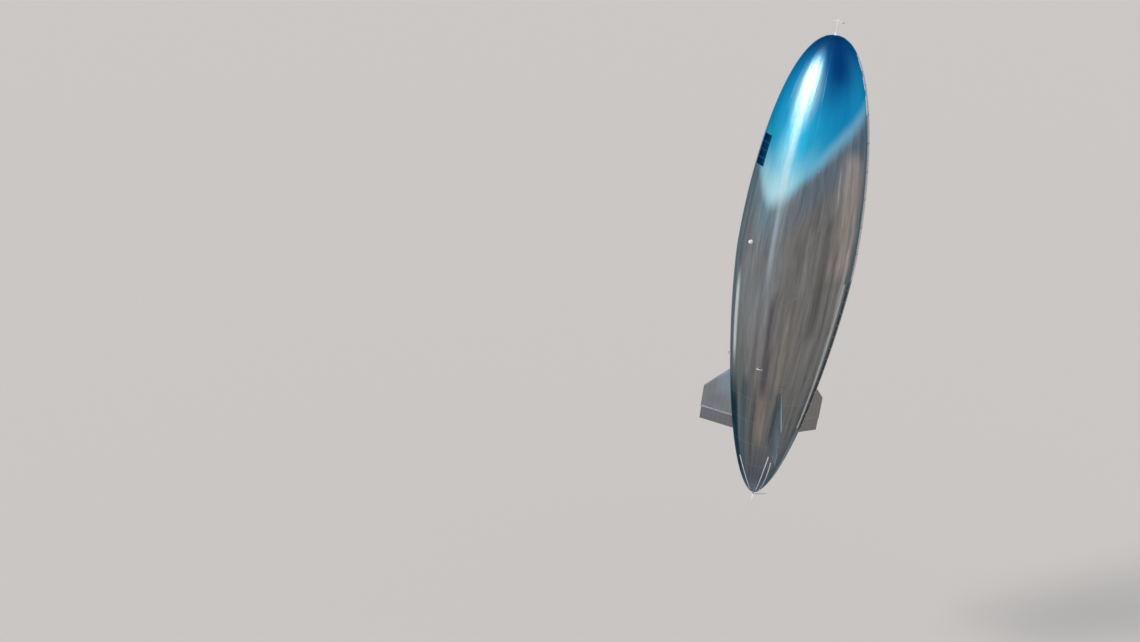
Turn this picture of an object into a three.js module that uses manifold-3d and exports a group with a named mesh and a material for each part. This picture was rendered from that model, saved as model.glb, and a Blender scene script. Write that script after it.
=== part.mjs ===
// A stratospheric airship, standing nose up, as a model at 1:2 of the real thing. Millimetres, +Z up.
// The hull's axis is Z with the nose at +Z, the back of the ship is at +Y and its belly at -Y.
// An azimuth is an angle round the hull: 0 is the belly, 90 is +X, 180 is the back.
import * as THREE from 'three';
import { mergeVertices } from 'three/addons/utils/BufferGeometryUtils.js';
import Module from 'manifold-3d';

const wasm = await Module();
wasm.setup();

// Driving dimensions of the hull. Stations are measured from the nose along the axis.
const hullLength = 32875;
const hullRadius = 4080;
const widestStation = 0.45 * hullLength;
const noseCurve = { fullness: 1.934, roundness: 2.219 };
const tailCurve = { fullness: 1.436, roundness: 1.764 };
const filmThickness = 10;
const hullSides = 48;
const stationCount = 26;
const noseOpeningStation = 20;
const tailOpeningStation = hullLength - 100;

// The frame's origin lies on the axis at the hull's centre of lift.
const liftCentreFromNose = 15100;
const noseZ = liftCentreFromNose;
const tailZ = noseZ - hullLength;

// The gap that is left where one piece is seated on the next.
const seat = 0.5;

const colours = {
  film: { color: 0x9fb4c0, roughness: 0.15, metalness: 0.9 },
  white: { color: 0xe8e8e4, roughness: 0.5, metalness: 0.0 },
  cell: { color: 0x101a2e, roughness: 0.25, metalness: 0.1 },
  grey: { color: 0x8a8f92, roughness: 0.5, metalness: 0.2 },
  tape: { color: 0xb8a890, roughness: 0.7, metalness: 0.0 },
  metal: { color: 0xb8bcc0, roughness: 0.35, metalness: 0.9 },
  carbon: { color: 0x24262a, roughness: 0.4, metalness: 0.1 },
};

const airship = new THREE.Group();

function addPiece(name, geometry, finish, parent = airship) {
  const piece = new THREE.Mesh(geometry, new THREE.MeshStandardMaterial(colours[finish]));
  piece.name = name;
  parent.add(piece);
  return piece;
}

// Closed meshes for cutting and joining.

function closedMesh(geometry) {
  const bare = geometry.clone();
  bare.deleteAttribute('normal');
  bare.deleteAttribute('uv');
  const merged = mergeVertices(bare, 1e-3);
  const position = merged.attributes.position;
  const index = merged.index.array;
  const corner = (i) => new THREE.Vector3().fromBufferAttribute(position, i);
  const triangles = [];
  let volume = 0;
  for (let i = 0; i < index.length; i += 3) {
    const [a, b, c] = [index[i], index[i + 1], index[i + 2]];
    if (a === b || b === c || a === c) continue;
    triangles.push([a, b, c]);
    volume += corner(a).dot(corner(b).cross(corner(c)));
  }
  const outward = volume > 0 ? triangles : triangles.map(([a, b, c]) => [a, c, b]);
  const closed = new THREE.BufferGeometry();
  closed.setAttribute('position', position);
  closed.setIndex(outward.flat());
  return closed;
}

function toSolid(geometry) {
  const closed = closedMesh(geometry);
  return new wasm.Manifold(new wasm.Mesh({
    numProp: 3,
    vertProperties: new Float32Array(closed.attributes.position.array),
    triVerts: new Uint32Array(closed.index.array),
  }));
}

function toGeometry(solid) {
  const mesh = solid.getMesh();
  const geometry = new THREE.BufferGeometry();
  geometry.setAttribute('position', new THREE.BufferAttribute(mesh.vertProperties, 3));
  geometry.setIndex(new THREE.BufferAttribute(mesh.triVerts, 1));
  return geometry;
}

const join = (...geometries) => toGeometry(
  geometries.map(toSolid).reduce((whole, next) => whole.add(next)));

const cut = (geometry, ...cutters) => toGeometry(
  cutters.map(toSolid).reduce((rest, cutter) => rest.subtract(cutter), toSolid(geometry)));

// Turned pieces: a profile of [radius, z] pairs, about the Z axis.
function turned(profile, sides = hullSides) {
  const points = profile.map(([radius, z]) => new THREE.Vector2(radius, z));
  return closedMesh(new THREE.LatheGeometry(points, sides).rotateX(Math.PI / 2));
}

// A closed body through a row of like outlines, each a ring of Vector3.
function lofted(rings) {
  const sides = rings[0].length;
  const points = rings.flat();
  const index = [];
  for (let k = 0; k < rings.length - 1; k += 1) {
    for (let i = 0; i < sides; i += 1) {
      const a = k * sides + i;
      const b = k * sides + (i + 1) % sides;
      index.push(a, b, b + sides, a, b + sides, a + sides);
    }
  }
  const last = (rings.length - 1) * sides;
  for (let i = 1; i < sides - 1; i += 1) {
    index.push(0, i + 1, i, last, last + i, last + i + 1);
  }
  const geometry = new THREE.BufferGeometry().setFromPoints(points);
  geometry.setIndex(index);
  return closedMesh(geometry);
}

// A rod between two points.
function rod(from, to, radius, sides = 12) {
  const along = new THREE.Vector3().subVectors(to, from);
  const turn = new THREE.Quaternion().setFromUnitVectors(
    new THREE.Vector3(0, 1, 0), along.clone().normalize());
  return new THREE.CylinderGeometry(radius, radius, along.length(), sides)
    .applyQuaternion(turn)
    .translate(...from.clone().add(to).multiplyScalar(0.5).toArray());
}

const box = (sizeX, sizeY, sizeZ, x, y, z) => new THREE.BoxGeometry(sizeX, sizeY, sizeZ).translate(x, y, z);

// The hull's shape: a superellipse ahead of the widest station and another behind it.

function hullRadiusAt(station) {
  const ahead = station < widestStation;
  const reach = ahead ? widestStation : hullLength - widestStation;
  const { fullness, roundness } = ahead ? noseCurve : tailCurve;
  const along = Math.abs(station - widestStation) / reach;
  return hullRadius * Math.max(0, 1 - along ** fullness) ** (1 / roundness);
}

// Stations crowd together towards the nose and the tail, where the hull is most curved.
const stations = [];
for (let i = 0; i <= stationCount; i += 1) {
  const share = (1 - Math.cos(Math.PI * i / stationCount)) / 2;
  stations.push(noseOpeningStation + share * (tailOpeningStation - noseOpeningStation));
}

// The point [radius, z] of the hull's flat-sided outline at a station, moved outwards by an offset.
function outlinePoint(station, offset) {
  let k = 0;
  while (k < stationCount - 1 && stations[k + 1] < station) k += 1;
  const [from, to] = [stations[k], stations[k + 1]];
  const [radiusFrom, radiusTo] = [hullRadiusAt(from), hullRadiusAt(to)];
  const share = (station - from) / (to - from);
  const radius = radiusFrom + share * (radiusTo - radiusFrom);
  const step = 1;
  const slope = station < step || station > hullLength - step ? 0
    : (hullRadiusAt(station + step) - hullRadiusAt(station - step)) / (2 * step);
  const length = Math.hypot(1, slope);
  return [radius + offset / length, noseZ - station + offset * slope / length];
}

// A point on a flat side of the hull, at an azimuth in degrees and a station.
function skinPoint(azimuth, station, offset) {
  const side = 360 / hullSides;
  const [radius, z] = outlinePoint(station, offset);
  const middle = (Math.floor(azimuth / side) + 0.5) * side;
  const halfSide = THREE.MathUtils.degToRad(side / 2);
  const turnFromMiddle = THREE.MathUtils.degToRad(azimuth - middle);
  const reach = radius * Math.cos(halfSide) / Math.cos(turnFromMiddle);
  const angle = THREE.MathUtils.degToRad(azimuth);
  return new THREE.Vector3(reach * Math.sin(angle), -reach * Math.cos(angle), z);
}

// A plate that lies on the hull's skin and follows its flat sides.
function skinPlate({ azimuths: [azimuthFrom, azimuthTo], run: [runFrom, runTo], under = seat, over }) {
  const side = 360 / hullSides;
  const across = [azimuthFrom];
  for (let k = Math.floor(azimuthFrom / side) + 1; k * side < azimuthTo; k += 1) across.push(k * side);
  across.push(azimuthTo);
  const along = [runFrom, ...stations.filter((s) => s > runFrom + 1 && s < runTo - 1), runTo];
  const [columns, rows] = [across.length, along.length];
  const layer = (offset) => along.flatMap((s) => across.map((a) => skinPoint(a, s, offset)));
  const points = [...layer(under), ...layer(over)];
  const at = (level, row, column) => level * rows * columns + row * columns + column;
  const index = [];
  const quad = (a, b, c, d) => index.push(a, b, c, a, c, d);
  for (let r = 0; r < rows - 1; r += 1) {
    for (let c = 0; c < columns - 1; c += 1) {
      quad(at(1, r, c), at(1, r + 1, c), at(1, r + 1, c + 1), at(1, r, c + 1));
      quad(at(0, r, c), at(0, r, c + 1), at(0, r + 1, c + 1), at(0, r + 1, c));
    }
  }
  for (let r = 0; r < rows - 1; r += 1) {
    quad(at(0, r, 0), at(0, r + 1, 0), at(1, r + 1, 0), at(1, r, 0));
    quad(at(1, r, columns - 1), at(1, r + 1, columns - 1), at(0, r + 1, columns - 1), at(0, r, columns - 1));
  }
  for (let c = 0; c < columns - 1; c += 1) {
    quad(at(1, 0, c), at(1, 0, c + 1), at(0, 0, c + 1), at(0, 0, c));
    quad(at(0, rows - 1, c), at(0, rows - 1, c + 1), at(1, rows - 1, c + 1), at(1, rows - 1, c));
  }
  const geometry = new THREE.BufferGeometry().setFromPoints(points);
  geometry.setIndex(index);
  return closedMesh(geometry);
}

// The hull as a solid, grown by an offset: it cuts the foot of whatever stands on the skin.
function hullSolid(offset) {
  const onAxis = (station) => [0, outlinePoint(station, offset)[1]];
  return turned([
    onAxis(noseOpeningStation),
    ...stations.map((s) => outlinePoint(s, offset)),
    onAxis(tailOpeningStation),
  ]);
}

const skinCutter = hullSolid(seat);

// Turns a piece that is built on the +X side of the hull to an azimuth.
const toAzimuth = (geometry, azimuth) => geometry.rotateZ(THREE.MathUtils.degToRad(azimuth - 90));

// The envelope: one shell of film, open where the nose cap and the tail fitting close it.
const filmInside = [...stations].reverse().map((s) => outlinePoint(s, -filmThickness));
const film = stations.map((s) => outlinePoint(s, 0));
addPiece('envelope', turned([...film, ...filmInside, film[0]]), 'film');

// The nose cap: a round dish lapped over the nose opening.
const noseCapStation = 130;
const noseCapThickness = 14;
const noseCapTop = noseZ + noseCapThickness;
const noseCap = turned([
  [0, outlinePoint(noseOpeningStation, seat)[1]],
  outlinePoint(noseOpeningStation, seat),
  ...stations.filter((s) => s > noseOpeningStation && s < noseCapStation).map((s) => outlinePoint(s, seat)),
  outlinePoint(noseCapStation, seat),
  outlinePoint(noseCapStation, noseCapThickness),
  ...stations.filter((s) => s > noseOpeningStation && s < noseCapStation).reverse()
    .map((s) => outlinePoint(s, noseCapThickness)),
  [hullRadiusAt(noseOpeningStation), noseCapTop - noseOpeningStation / 2],
  [0, noseCapTop],
]);
addPiece('nose_cap', noseCap, 'film');

// The air-data mast stands on the nose, on a flanged cone whose foot is cut to the cap's dished top.
const mastCone = {
  flangeRadius: 150,
  flangeThickness: 12,
  flangeRound: 2,
  bottomRadius: 105,
  topRadius: 66,
  height: 180,
  footDepth: 40,
};
const mast = { bottomRadius: 36, topRadius: 26, height: 900 };
const mastConeTop = noseCapTop + mastCone.height;
const mastTop = noseCapTop + mast.height;
const capCutter = { middleDepth: 60, rimRadius: 900, rimDepth: 200 };
const noseCapSolid = turned([
  [0, noseCapTop - capCutter.middleDepth],
  [capCutter.rimRadius, noseCapTop - capCutter.rimDepth],
  outlinePoint(noseCapStation, noseCapThickness + seat),
  [hullRadiusAt(noseOpeningStation), noseCapTop - noseOpeningStation / 2 + seat],
  [0, noseCapTop + seat],
]);
addPiece('mast_cone', cut(
  turned([
    [0, noseCapTop - mastCone.footDepth],
    [mastCone.flangeRadius, noseCapTop - mastCone.footDepth],
    [mastCone.flangeRadius, noseCapTop + mastCone.flangeThickness],
    [mastCone.bottomRadius, noseCapTop + mastCone.flangeThickness + mastCone.flangeRound],
    [mastCone.topRadius, mastConeTop],
    [0, mastConeTop],
  ], 24),
  noseCapSolid,
), 'white');
addPiece('nose_mast', turned([
  [0, mastConeTop + seat],
  [mast.bottomRadius, mastConeTop + seat],
  [mast.topRadius, mastTop],
  [0, mastTop],
], 16), 'white');

// The crossbar on the mast: two arms droop from a knob, with a round beacon at the end of one and a vane
// at the end of the other. Each is made level along X, then turned down by the droop.
const knob = { topRadius: 35, bottomRadius: 50, height: 100 };
const crossbar = { z: mastTop + knob.height / 2, armLength: 415, armRadius: 14, droop: 15.4 };
const beaconRadius = 46;
const vane = { thickness: 16, length: 200, height: 60, behindPivot: 90 };
const vaneBoss = { width: 22, length: 60, aheadOfPivot: 20 };
const drooped = (geometry, sign) => geometry
  .rotateY(THREE.MathUtils.degToRad(sign * crossbar.droop))
  .translate(0, 0, crossbar.z);
const arm = (sign) => drooped(
  rod(new THREE.Vector3(), new THREE.Vector3(sign * crossbar.armLength, 0, 0), crossbar.armRadius, 10), sign);
addPiece('mast_crossbar', join(
  new THREE.CylinderGeometry(knob.topRadius, knob.bottomRadius, knob.height - 2 * seat, 14)
    .rotateX(Math.PI / 2).translate(0, 0, crossbar.z),
  arm(-1),
  arm(1),
), 'white');
addPiece('mast_beacon', drooped(new THREE.SphereGeometry(beaconRadius, 14, 10)
  .translate(-crossbar.armLength - beaconRadius - seat, 0, 0), -1), 'white');
addPiece('mast_vane', drooped(join(
  box(vane.thickness, vane.length, vane.height, 0, vane.behindPivot, 0),
  box(vaneBoss.width, vaneBoss.length, vaneBoss.width, 0, -vaneBoss.aheadOfPivot, 0),
).translate(crossbar.armLength + vaneBoss.width / 2 + seat, 0, 0), 1), 'grey');

// Solar modules: a row of plates over the ship's back, from the nose to the widest station.
const solarArray = { start: 1000, end: 15800, modules: 8, halfAngle: 59.5, gap: 70, over: 16 };
const modulePitch = (solarArray.end - solarArray.start + solarArray.gap) / solarArray.modules;
for (let i = 0; i < solarArray.modules; i += 1) {
  const runFrom = solarArray.start + i * modulePitch;
  addPiece(`solar_module_${i + 1}`, skinPlate({
    azimuths: [180 - solarArray.halfAngle, 180 + solarArray.halfAngle],
    run: [runFrom, runFrom + modulePitch - solarArray.gap],
    over: solarArray.over,
  }), 'cell');
}

// Raised cable ducts, from the array's rear corners to the tail.
const cableRun = { angleFromBack: 62, halfWidth: 1.4, run: [15900, 27200], over: 60 };
for (const [name, centre] of [['cable_run_right', 180 - cableRun.angleFromBack],
  ['cable_run_left', 180 + cableRun.angleFromBack]]) {
  addPiece(name, skinPlate({
    azimuths: [centre - cableRun.halfWidth, centre + cableRun.halfWidth],
    run: cableRun.run,
    over: cableRun.over,
  }), 'tape');
}

// The dark array beside the belly line: two columns of four tiles on one backing.
const bellyArray = {
  azimuths: [-28.5, -10], run: [6780, 8880], rows: 4, columns: 2, backing: 12, over: 26, margin: 30,
};
const tileAngle = (bellyArray.azimuths[1] - bellyArray.azimuths[0]) / bellyArray.columns;
const tileRun = (bellyArray.run[1] - bellyArray.run[0]) / bellyArray.rows;
const marginAngle = THREE.MathUtils.radToDeg(bellyArray.margin / hullRadius);
const bellyTiles = [];
for (let row = 0; row < bellyArray.rows; row += 1) {
  for (let column = 0; column < bellyArray.columns; column += 1) {
    const azimuthFrom = bellyArray.azimuths[0] + column * tileAngle;
    const runFrom = bellyArray.run[0] + row * tileRun;
    bellyTiles.push(skinPlate({
      azimuths: [azimuthFrom + marginAngle, azimuthFrom + tileAngle - marginAngle],
      run: [runFrom + bellyArray.margin, runFrom + tileRun - bellyArray.margin],
      under: bellyArray.backing / 2,
      over: bellyArray.over,
    }));
  }
}
addPiece('belly_array', join(
  skinPlate({ azimuths: bellyArray.azimuths, run: bellyArray.run, over: bellyArray.backing }),
  ...bellyTiles,
), 'cell');

// The white dome on the belly line: a flange on the skin, an upright collar and a low dome.
const dome = {
  azimuth: -2,
  station: 13900,
  flangeRadius: 150,
  flangeTop: 16,
  radius: 125,
  collarTop: 75,
  crown: 110,
  root: 80,
};
const domeSeat = outlinePoint(dome.station, 0);
const domeArc = [20, 40, 60, 80].map((angle) => THREE.MathUtils.degToRad(angle));
addPiece('belly_dome', cut(
  toAzimuth(turned([
    [0, -dome.root],
    [dome.flangeRadius, -dome.root],
    [dome.flangeRadius, dome.flangeTop],
    [dome.radius, dome.flangeTop],
    [dome.radius, dome.collarTop],
    ...domeArc.map((a) => [dome.radius * Math.cos(a), dome.collarTop + dome.crown * Math.sin(a)]),
    [0, dome.collarTop + dome.crown],
  ], 20).rotateY(Math.PI / 2).translate(domeSeat[0], 0, domeSeat[1]), dome.azimuth),
  skinCutter,
), 'white');

// Handling patches: a doubled pad with an upright lug, where a line can be made fast.
const handlingPatches = [
  // name, azimuth, station
  ['handling_patch_fore_right', 55, 8360],
  ['handling_patch_fore_left', -55, 8360],
  ['handling_patch_mid_right', 55, 16900],
  ['handling_patch_mid_left', -55, 16900],
];
const patch = {
  padRadius: 170, padThickness: 16, padRoot: 90, lugLength: 160, lugWidth: 24, lugHeight: 90, lugRoot: 60,
};
for (const [name, azimuth, station] of handlingPatches) {
  const [radius, z] = outlinePoint(station, 0);
  const padHeight = patch.padRoot + patch.padThickness;
  const pad = new THREE.CylinderGeometry(patch.padRadius, patch.padRadius, padHeight, 20)
    .rotateZ(Math.PI / 2).translate(radius + patch.padThickness - padHeight / 2, 0, z);
  const lug = box(patch.lugRoot + patch.lugHeight, patch.lugLength, patch.lugWidth,
    radius + (patch.lugHeight - patch.lugRoot) / 2, 0, z);
  addPiece(name, cut(toAzimuth(join(pad, lug), azimuth), skinCutter), 'white');
}

// Stand-off rails: a bar across the hull on two feet.
const standOffs = [
  // name, azimuth
  ['stand_off_rail_right', 29.3],
  ['stand_off_rail_left', -29.3],
];
const rail = { station: 22440, halfWidth: 210, height: 130, radius: 22, footAt: 147, root: 60 };
for (const [name, azimuth] of standOffs) {
  const [radius, z] = outlinePoint(rail.station, 0);
  const point = (height, y) => new THREE.Vector3(radius + height, y, z);
  const foot = (y) => rod(point(-rail.root, y), point(rail.height, y), rail.radius);
  const bar = rod(point(rail.height, -rail.halfWidth), point(rail.height, rail.halfWidth), rail.radius);
  const whole = join(bar, foot(-rail.footAt), foot(rail.footAt));
  addPiece(name, cut(toAzimuth(whole, azimuth), skinCutter), 'white');
}

// Fins: three alike, one on the back and two below the sides. Radii are from the hull's axis.
const fins = [
  // name, azimuth
  ['back', 180],
  ['right', 60],
  ['left', -60],
];
const finTipRadius = 5060;
const finRootRadius = 2250;
const finLeadingStationAtTip = 26020;
const finSweep = 1.05;
const hingeStation = 27650;
const trailingStation = 28560;
const finPad = { halfAngle: 5, run: [23480, 28140], thickness: 12 };
const finThickness = { root: 110, tip: 52 };
const spar = { from: hingeStation - 120, to: hingeStation - 42 };
const flapNoseRadius = 28;
const flapTrailingThickness = 10;
const flapInner = { atHinge: 2570, atTrailing: 2370 };
const flapOuter = finTipRadius - 46;
const ear = { thickness: 30, innerFrom: 2530, reach: 26, halfWidth: 28, behindSparFront: 10 };
const pin = { radius: 14, boreRadius: 14.7, depth: 60, boreOver: 10, boreStart: 50, sides: 24 };
const actuator = { radius: hingeStation - spar.to - seat, length: 110 };

const finThicknessAt = (radius) => finThickness.root
  + (finThickness.tip - finThickness.root) * (radius - finRootRadius) / (finTipRadius - finRootRadius);
const finLeadingStationAt = (radius) => finLeadingStationAtTip - (finTipRadius - radius) * finSweep;
const finPoint = (radius, thick, station) => new THREE.Vector3(radius, thick, noseZ - station);

function finSection(radius) {
  const lead = finLeadingStationAt(radius);
  const chord = spar.from - seat - lead;
  const half = finThicknessAt(radius) / 2;
  const sides = [
    // share of the chord, share of the half thickness
    [0, 0.15],
    [0.05, 0.6],
    [0.18, 1],
    [1, 0.8],
  ];
  const side = (sign) => sides.map(([share, thick]) => finPoint(
    radius, sign * half * thick, lead + share * chord));
  return [...side(1), ...side(-1).reverse()];
}

function sparSection(radius) {
  const half = 0.4 * finThicknessAt(radius);
  return [[spar.from, half], [spar.to, half], [spar.to, -half], [spar.from, -half]]
    .map(([station, thick]) => finPoint(radius, thick, station));
}

function flapSection(hingeRadius, trailingRadius) {
  const nose = [-90, -60, -30, 0, 30, 60, 90].map((degrees) => {
    const angle = THREE.MathUtils.degToRad(degrees);
    return finPoint(
      hingeRadius, flapNoseRadius * Math.sin(angle), hingeStation - flapNoseRadius * Math.cos(angle));
  });
  const trailing = (sign) => finPoint(trailingRadius, sign * flapTrailingThickness / 2, trailingStation);
  return [...nose, trailing(1), trailing(-1)];
}

const alongHinge = (from, to, radius, sides) => rod(
  finPoint(from, 0, hingeStation), finPoint(to, 0, hingeStation), radius, sides);
const finHull = hullSolid(finPad.thickness + seat);
const earFront = spar.from + ear.behindSparFront;
const earBack = hingeStation + ear.reach;
const earPlate = (from) => box(ear.thickness, 2 * ear.halfWidth, earBack - earFront,
  from + ear.thickness / 2, 0, noseZ - (earBack + earFront) / 2);
const outerEarFrom = finTipRadius - ear.thickness;

for (const [name, azimuth] of fins) {
  addPiece(`fin_pad_${name}`, skinPlate({
    azimuths: [azimuth - finPad.halfAngle, azimuth + finPad.halfAngle],
    run: finPad.run,
    over: finPad.thickness,
  }), 'film');
  const fin = new THREE.Group();
  fin.rotation.z = THREE.MathUtils.degToRad(azimuth - 90);
  airship.add(fin);
  addPiece(`fin_${name}`, cut(
    lofted([finSection(finRootRadius), finSection(finTipRadius)]), finHull), 'film', fin);
  addPiece(`fin_spar_${name}`, join(
    cut(lofted([sparSection(finRootRadius), sparSection(finTipRadius)]), finHull),
    earPlate(ear.innerFrom),
    earPlate(outerEarFrom),
    alongHinge(ear.innerFrom + ear.thickness / 2, flapInner.atHinge + pin.depth, pin.radius, pin.sides),
    alongHinge(outerEarFrom + ear.thickness / 2, flapOuter - pin.depth, pin.radius, pin.sides),
  ), 'white', fin);
  addPiece(`flap_${name}`, cut(
    lofted([flapSection(flapInner.atHinge, flapInner.atTrailing), flapSection(flapOuter, flapOuter)]),
    alongHinge(flapInner.atHinge - pin.boreStart, flapInner.atHinge + pin.depth + pin.boreOver,
      pin.boreRadius, pin.sides),
    alongHinge(flapOuter + pin.boreStart, flapOuter - pin.depth - pin.boreOver, pin.boreRadius, pin.sides),
  ), 'film', fin);
  addPiece(`flap_actuator_${name}`, alongHinge(
    ear.innerFrom - actuator.length, ear.innerFrom - seat, actuator.radius, 20), 'grey', fin);
}

// The tail fitting closes the tail opening and carries the gimbal's two ears.
const tailLapStation = hullLength - 190;
const tailDishSize = { thickness: 16, flatRadius: 150, flatBelowTail: 4 };
const gimbalDrop = 85;
const gimbalZ = tailZ - gimbalDrop;
const ringSize = { inner: 94, outer: 110, height: 26 };
const gimbalEar = { from: 118, thickness: 16, halfWidth: 26, belowPin: 24, root: 20 };
const gimbalEarTop = tailZ + gimbalEar.root;
const gimbalEarBottom = gimbalZ - gimbalEar.belowPin;
const gimbalPin = { radius: 9, boreRadius: 9.6, boreReach: 160, root: 8, short: 2, sides: 24 };
const xRod = (from, to, radius) => rod(
  new THREE.Vector3(from, 0, gimbalZ), new THREE.Vector3(to, 0, gimbalZ), radius, gimbalPin.sides);
const yRod = (from, to, radius) => rod(
  new THREE.Vector3(0, from, gimbalZ), new THREE.Vector3(0, to, gimbalZ), radius, gimbalPin.sides);
const tailDish = turned([
  [0, outlinePoint(tailOpeningStation, seat)[1]],
  outlinePoint(tailOpeningStation, seat),
  outlinePoint(tailLapStation, seat),
  outlinePoint(tailLapStation, tailDishSize.thickness),
  [tailDishSize.flatRadius, tailZ - tailDishSize.flatBelowTail],
  [0, tailZ - tailDishSize.flatBelowTail],
]);
const gimbalEars = [-1, 1].map((sign) => box(
  gimbalEar.thickness, 2 * gimbalEar.halfWidth, gimbalEarTop - gimbalEarBottom,
  sign * (gimbalEar.from + gimbalEar.thickness / 2), 0, (gimbalEarTop + gimbalEarBottom) / 2));
addPiece('tail_fitting', cut(
  join(tailDish, ...gimbalEars),
  xRod(-gimbalPin.boreReach, gimbalPin.boreReach, gimbalPin.boreRadius),
), 'grey');

// The gimbal ring tilts about X in the fitting's ears, and the motor tilts about Y in the ring.
const ringBody = turned([
  [ringSize.inner, gimbalZ - ringSize.height / 2],
  [ringSize.outer, gimbalZ - ringSize.height / 2],
  [ringSize.outer, gimbalZ + ringSize.height / 2],
  [ringSize.inner, gimbalZ + ringSize.height / 2],
  [ringSize.inner, gimbalZ - ringSize.height / 2],
], 32);
const ringPinFrom = ringSize.outer - gimbalPin.root;
const ringPinTo = gimbalEar.from + gimbalEar.thickness - gimbalPin.short;
addPiece('gimbal_ring', cut(
  join(
    ringBody,
    xRod(ringPinFrom, ringPinTo, gimbalPin.radius),
    xRod(-ringPinFrom, -ringPinTo, gimbalPin.radius),
  ),
  yRod(-gimbalPin.boreReach, gimbalPin.boreReach, gimbalPin.boreRadius),
), 'metal');

// The motor, with a blind bore for the propeller's shaft.
const motor = { radius: 70, halfHeight: 26 };
const motorShaft = { radius: 12, short: 4, boreRadius: 12.7, boreDepth: 40, boreOver: 5 };
const motorBottom = gimbalZ - motor.halfHeight;
const motorTop = gimbalZ + motor.halfHeight;
const boreTop = motorBottom + motorShaft.boreDepth;
const belowMotor = motorBottom - motorShaft.boreOver;
const motorPinFrom = motor.radius - gimbalPin.root;
const motorPinTo = ringSize.outer - gimbalPin.short;
addPiece('motor', cut(
  join(
    turned([[0, motorBottom], [motor.radius, motorBottom], [motor.radius, motorTop], [0, motorTop]], 28),
    yRod(motorPinFrom, motorPinTo, gimbalPin.radius),
    yRod(-motorPinFrom, -motorPinTo, gimbalPin.radius),
  ),
  turned([
    [0, belowMotor],
    [motorShaft.boreRadius, belowMotor],
    [motorShaft.boreRadius, boreTop],
    [0, boreTop],
  ], 20),
), 'carbon');

// The propeller: a hub with its shaft and spinner, and three blades that stand against the hub.
const propeller = { drop: 105, radius: 1080, blades: 3, restTurn: 75 };
const hub = { radius: 48, halfHeight: 34, spinner: 60 };
const spinnerCurve = [
  // share of the hub's radius, share of the spinner's height
  [1, 0],
  [0.8, 0.5],
  [0.4, 0.9],
  [0, 1],
];
const propellerZ = gimbalZ - propeller.drop;
const hubTop = propellerZ + hub.halfHeight;
const hubBottom = propellerZ - hub.halfHeight;
const shaftTop = boreTop - motorShaft.short;
addPiece('propeller_hub', turned([
  [0, shaftTop],
  [motorShaft.radius, shaftTop],
  [motorShaft.radius, hubTop],
  [hub.radius, hubTop],
  ...spinnerCurve.map(([out, down]) => [out * hub.radius, hubBottom - down * hub.spinner]),
], 24), 'white');
const bladeSections = [
  // radius, chord, thickness, pitch in degrees
  [hub.radius + seat, 44, 40, 40],
  [200, 120, 24, 38],
  [420, 160, 18, 28],
  [760, 140, 13, 18],
  [1000, 100, 9, 13],
  [propeller.radius, 40, 6, 12],
];
const bladeOutline = [
  // share of the chord, share of the half thickness
  [-0.5, 0],
  [-0.35, 0.8],
  [-0.05, 1],
  [0.3, 0.6],
  [0.5, 0],
  [0.3, -0.6],
  [-0.05, -1],
  [-0.35, -0.8],
];
const bladeAxis = new THREE.Vector3(1, 0, 0);
const bladeRing = ([radius, chord, thickness, pitch]) => bladeOutline.map(
  ([share, thick]) => new THREE.Vector3(radius, share * chord, thick * thickness / 2)
    .applyAxisAngle(bladeAxis, THREE.MathUtils.degToRad(pitch)));
const blade = lofted(bladeSections.map(bladeRing));
for (let i = 0; i < propeller.blades; i += 1) {
  const turn = THREE.MathUtils.degToRad(propeller.restTurn + 360 * i / propeller.blades);
  addPiece(`blade_${i + 1}`, blade.clone().rotateZ(turn).translate(0, 0, propellerZ), 'white');
}

export default airship;
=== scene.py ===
"""Finishes and shapes of a stratospheric airship, standing nose up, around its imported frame. Metres, +Z up.

The hull's axis is Z with the nose at +Z, the back of the ship is at +Y and its belly at -Y. An azimuth is
an angle round the hull: 0 is the belly, 90 is +X, 180 is the back. A station is a distance from the nose.
"""

import math

import bpy
from mathutils import Matrix, Vector, noise


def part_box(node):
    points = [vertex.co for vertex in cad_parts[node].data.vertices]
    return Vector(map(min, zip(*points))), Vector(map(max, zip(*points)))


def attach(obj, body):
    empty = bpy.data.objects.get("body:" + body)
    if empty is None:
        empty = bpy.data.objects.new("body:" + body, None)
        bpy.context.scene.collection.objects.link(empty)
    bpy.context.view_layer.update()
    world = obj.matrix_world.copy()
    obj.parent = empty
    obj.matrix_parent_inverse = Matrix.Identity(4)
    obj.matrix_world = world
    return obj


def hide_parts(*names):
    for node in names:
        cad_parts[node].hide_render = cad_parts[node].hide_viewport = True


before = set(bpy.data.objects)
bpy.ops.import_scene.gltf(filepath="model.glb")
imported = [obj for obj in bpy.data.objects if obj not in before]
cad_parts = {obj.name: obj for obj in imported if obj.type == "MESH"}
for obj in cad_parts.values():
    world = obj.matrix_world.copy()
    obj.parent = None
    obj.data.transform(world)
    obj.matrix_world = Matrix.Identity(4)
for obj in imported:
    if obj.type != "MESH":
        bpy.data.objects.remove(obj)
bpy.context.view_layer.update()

# The camera looks down on the ship from where the photograph was taken, a little above its nose.
PICTURE_WIDTH = 1140
FOCAL_LENGTH_IN_PIXELS = 1350
camera_place = Vector((66.767, -62.152, 22.716))
looking = Vector((-0.79173, 0.52636, -0.31003)).normalized()
picture_right = looking.cross(Vector((-0.32668, 0.06404, 0.94296))).normalized()
picture_up = picture_right.cross(looking)
camera = bpy.data.objects.new("camera", bpy.data.cameras.new("camera"))
bpy.context.scene.collection.objects.link(camera)
camera.matrix_world = Matrix.Translation(camera_place) @ Matrix(
    (picture_right, picture_up, -looking)).transposed().to_4x4()
camera.data.lens = camera.data.sensor_width * FOCAL_LENGTH_IN_PIXELS / PICTURE_WIDTH
camera.data.clip_end = 3000
bpy.context.scene.camera = camera

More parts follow.
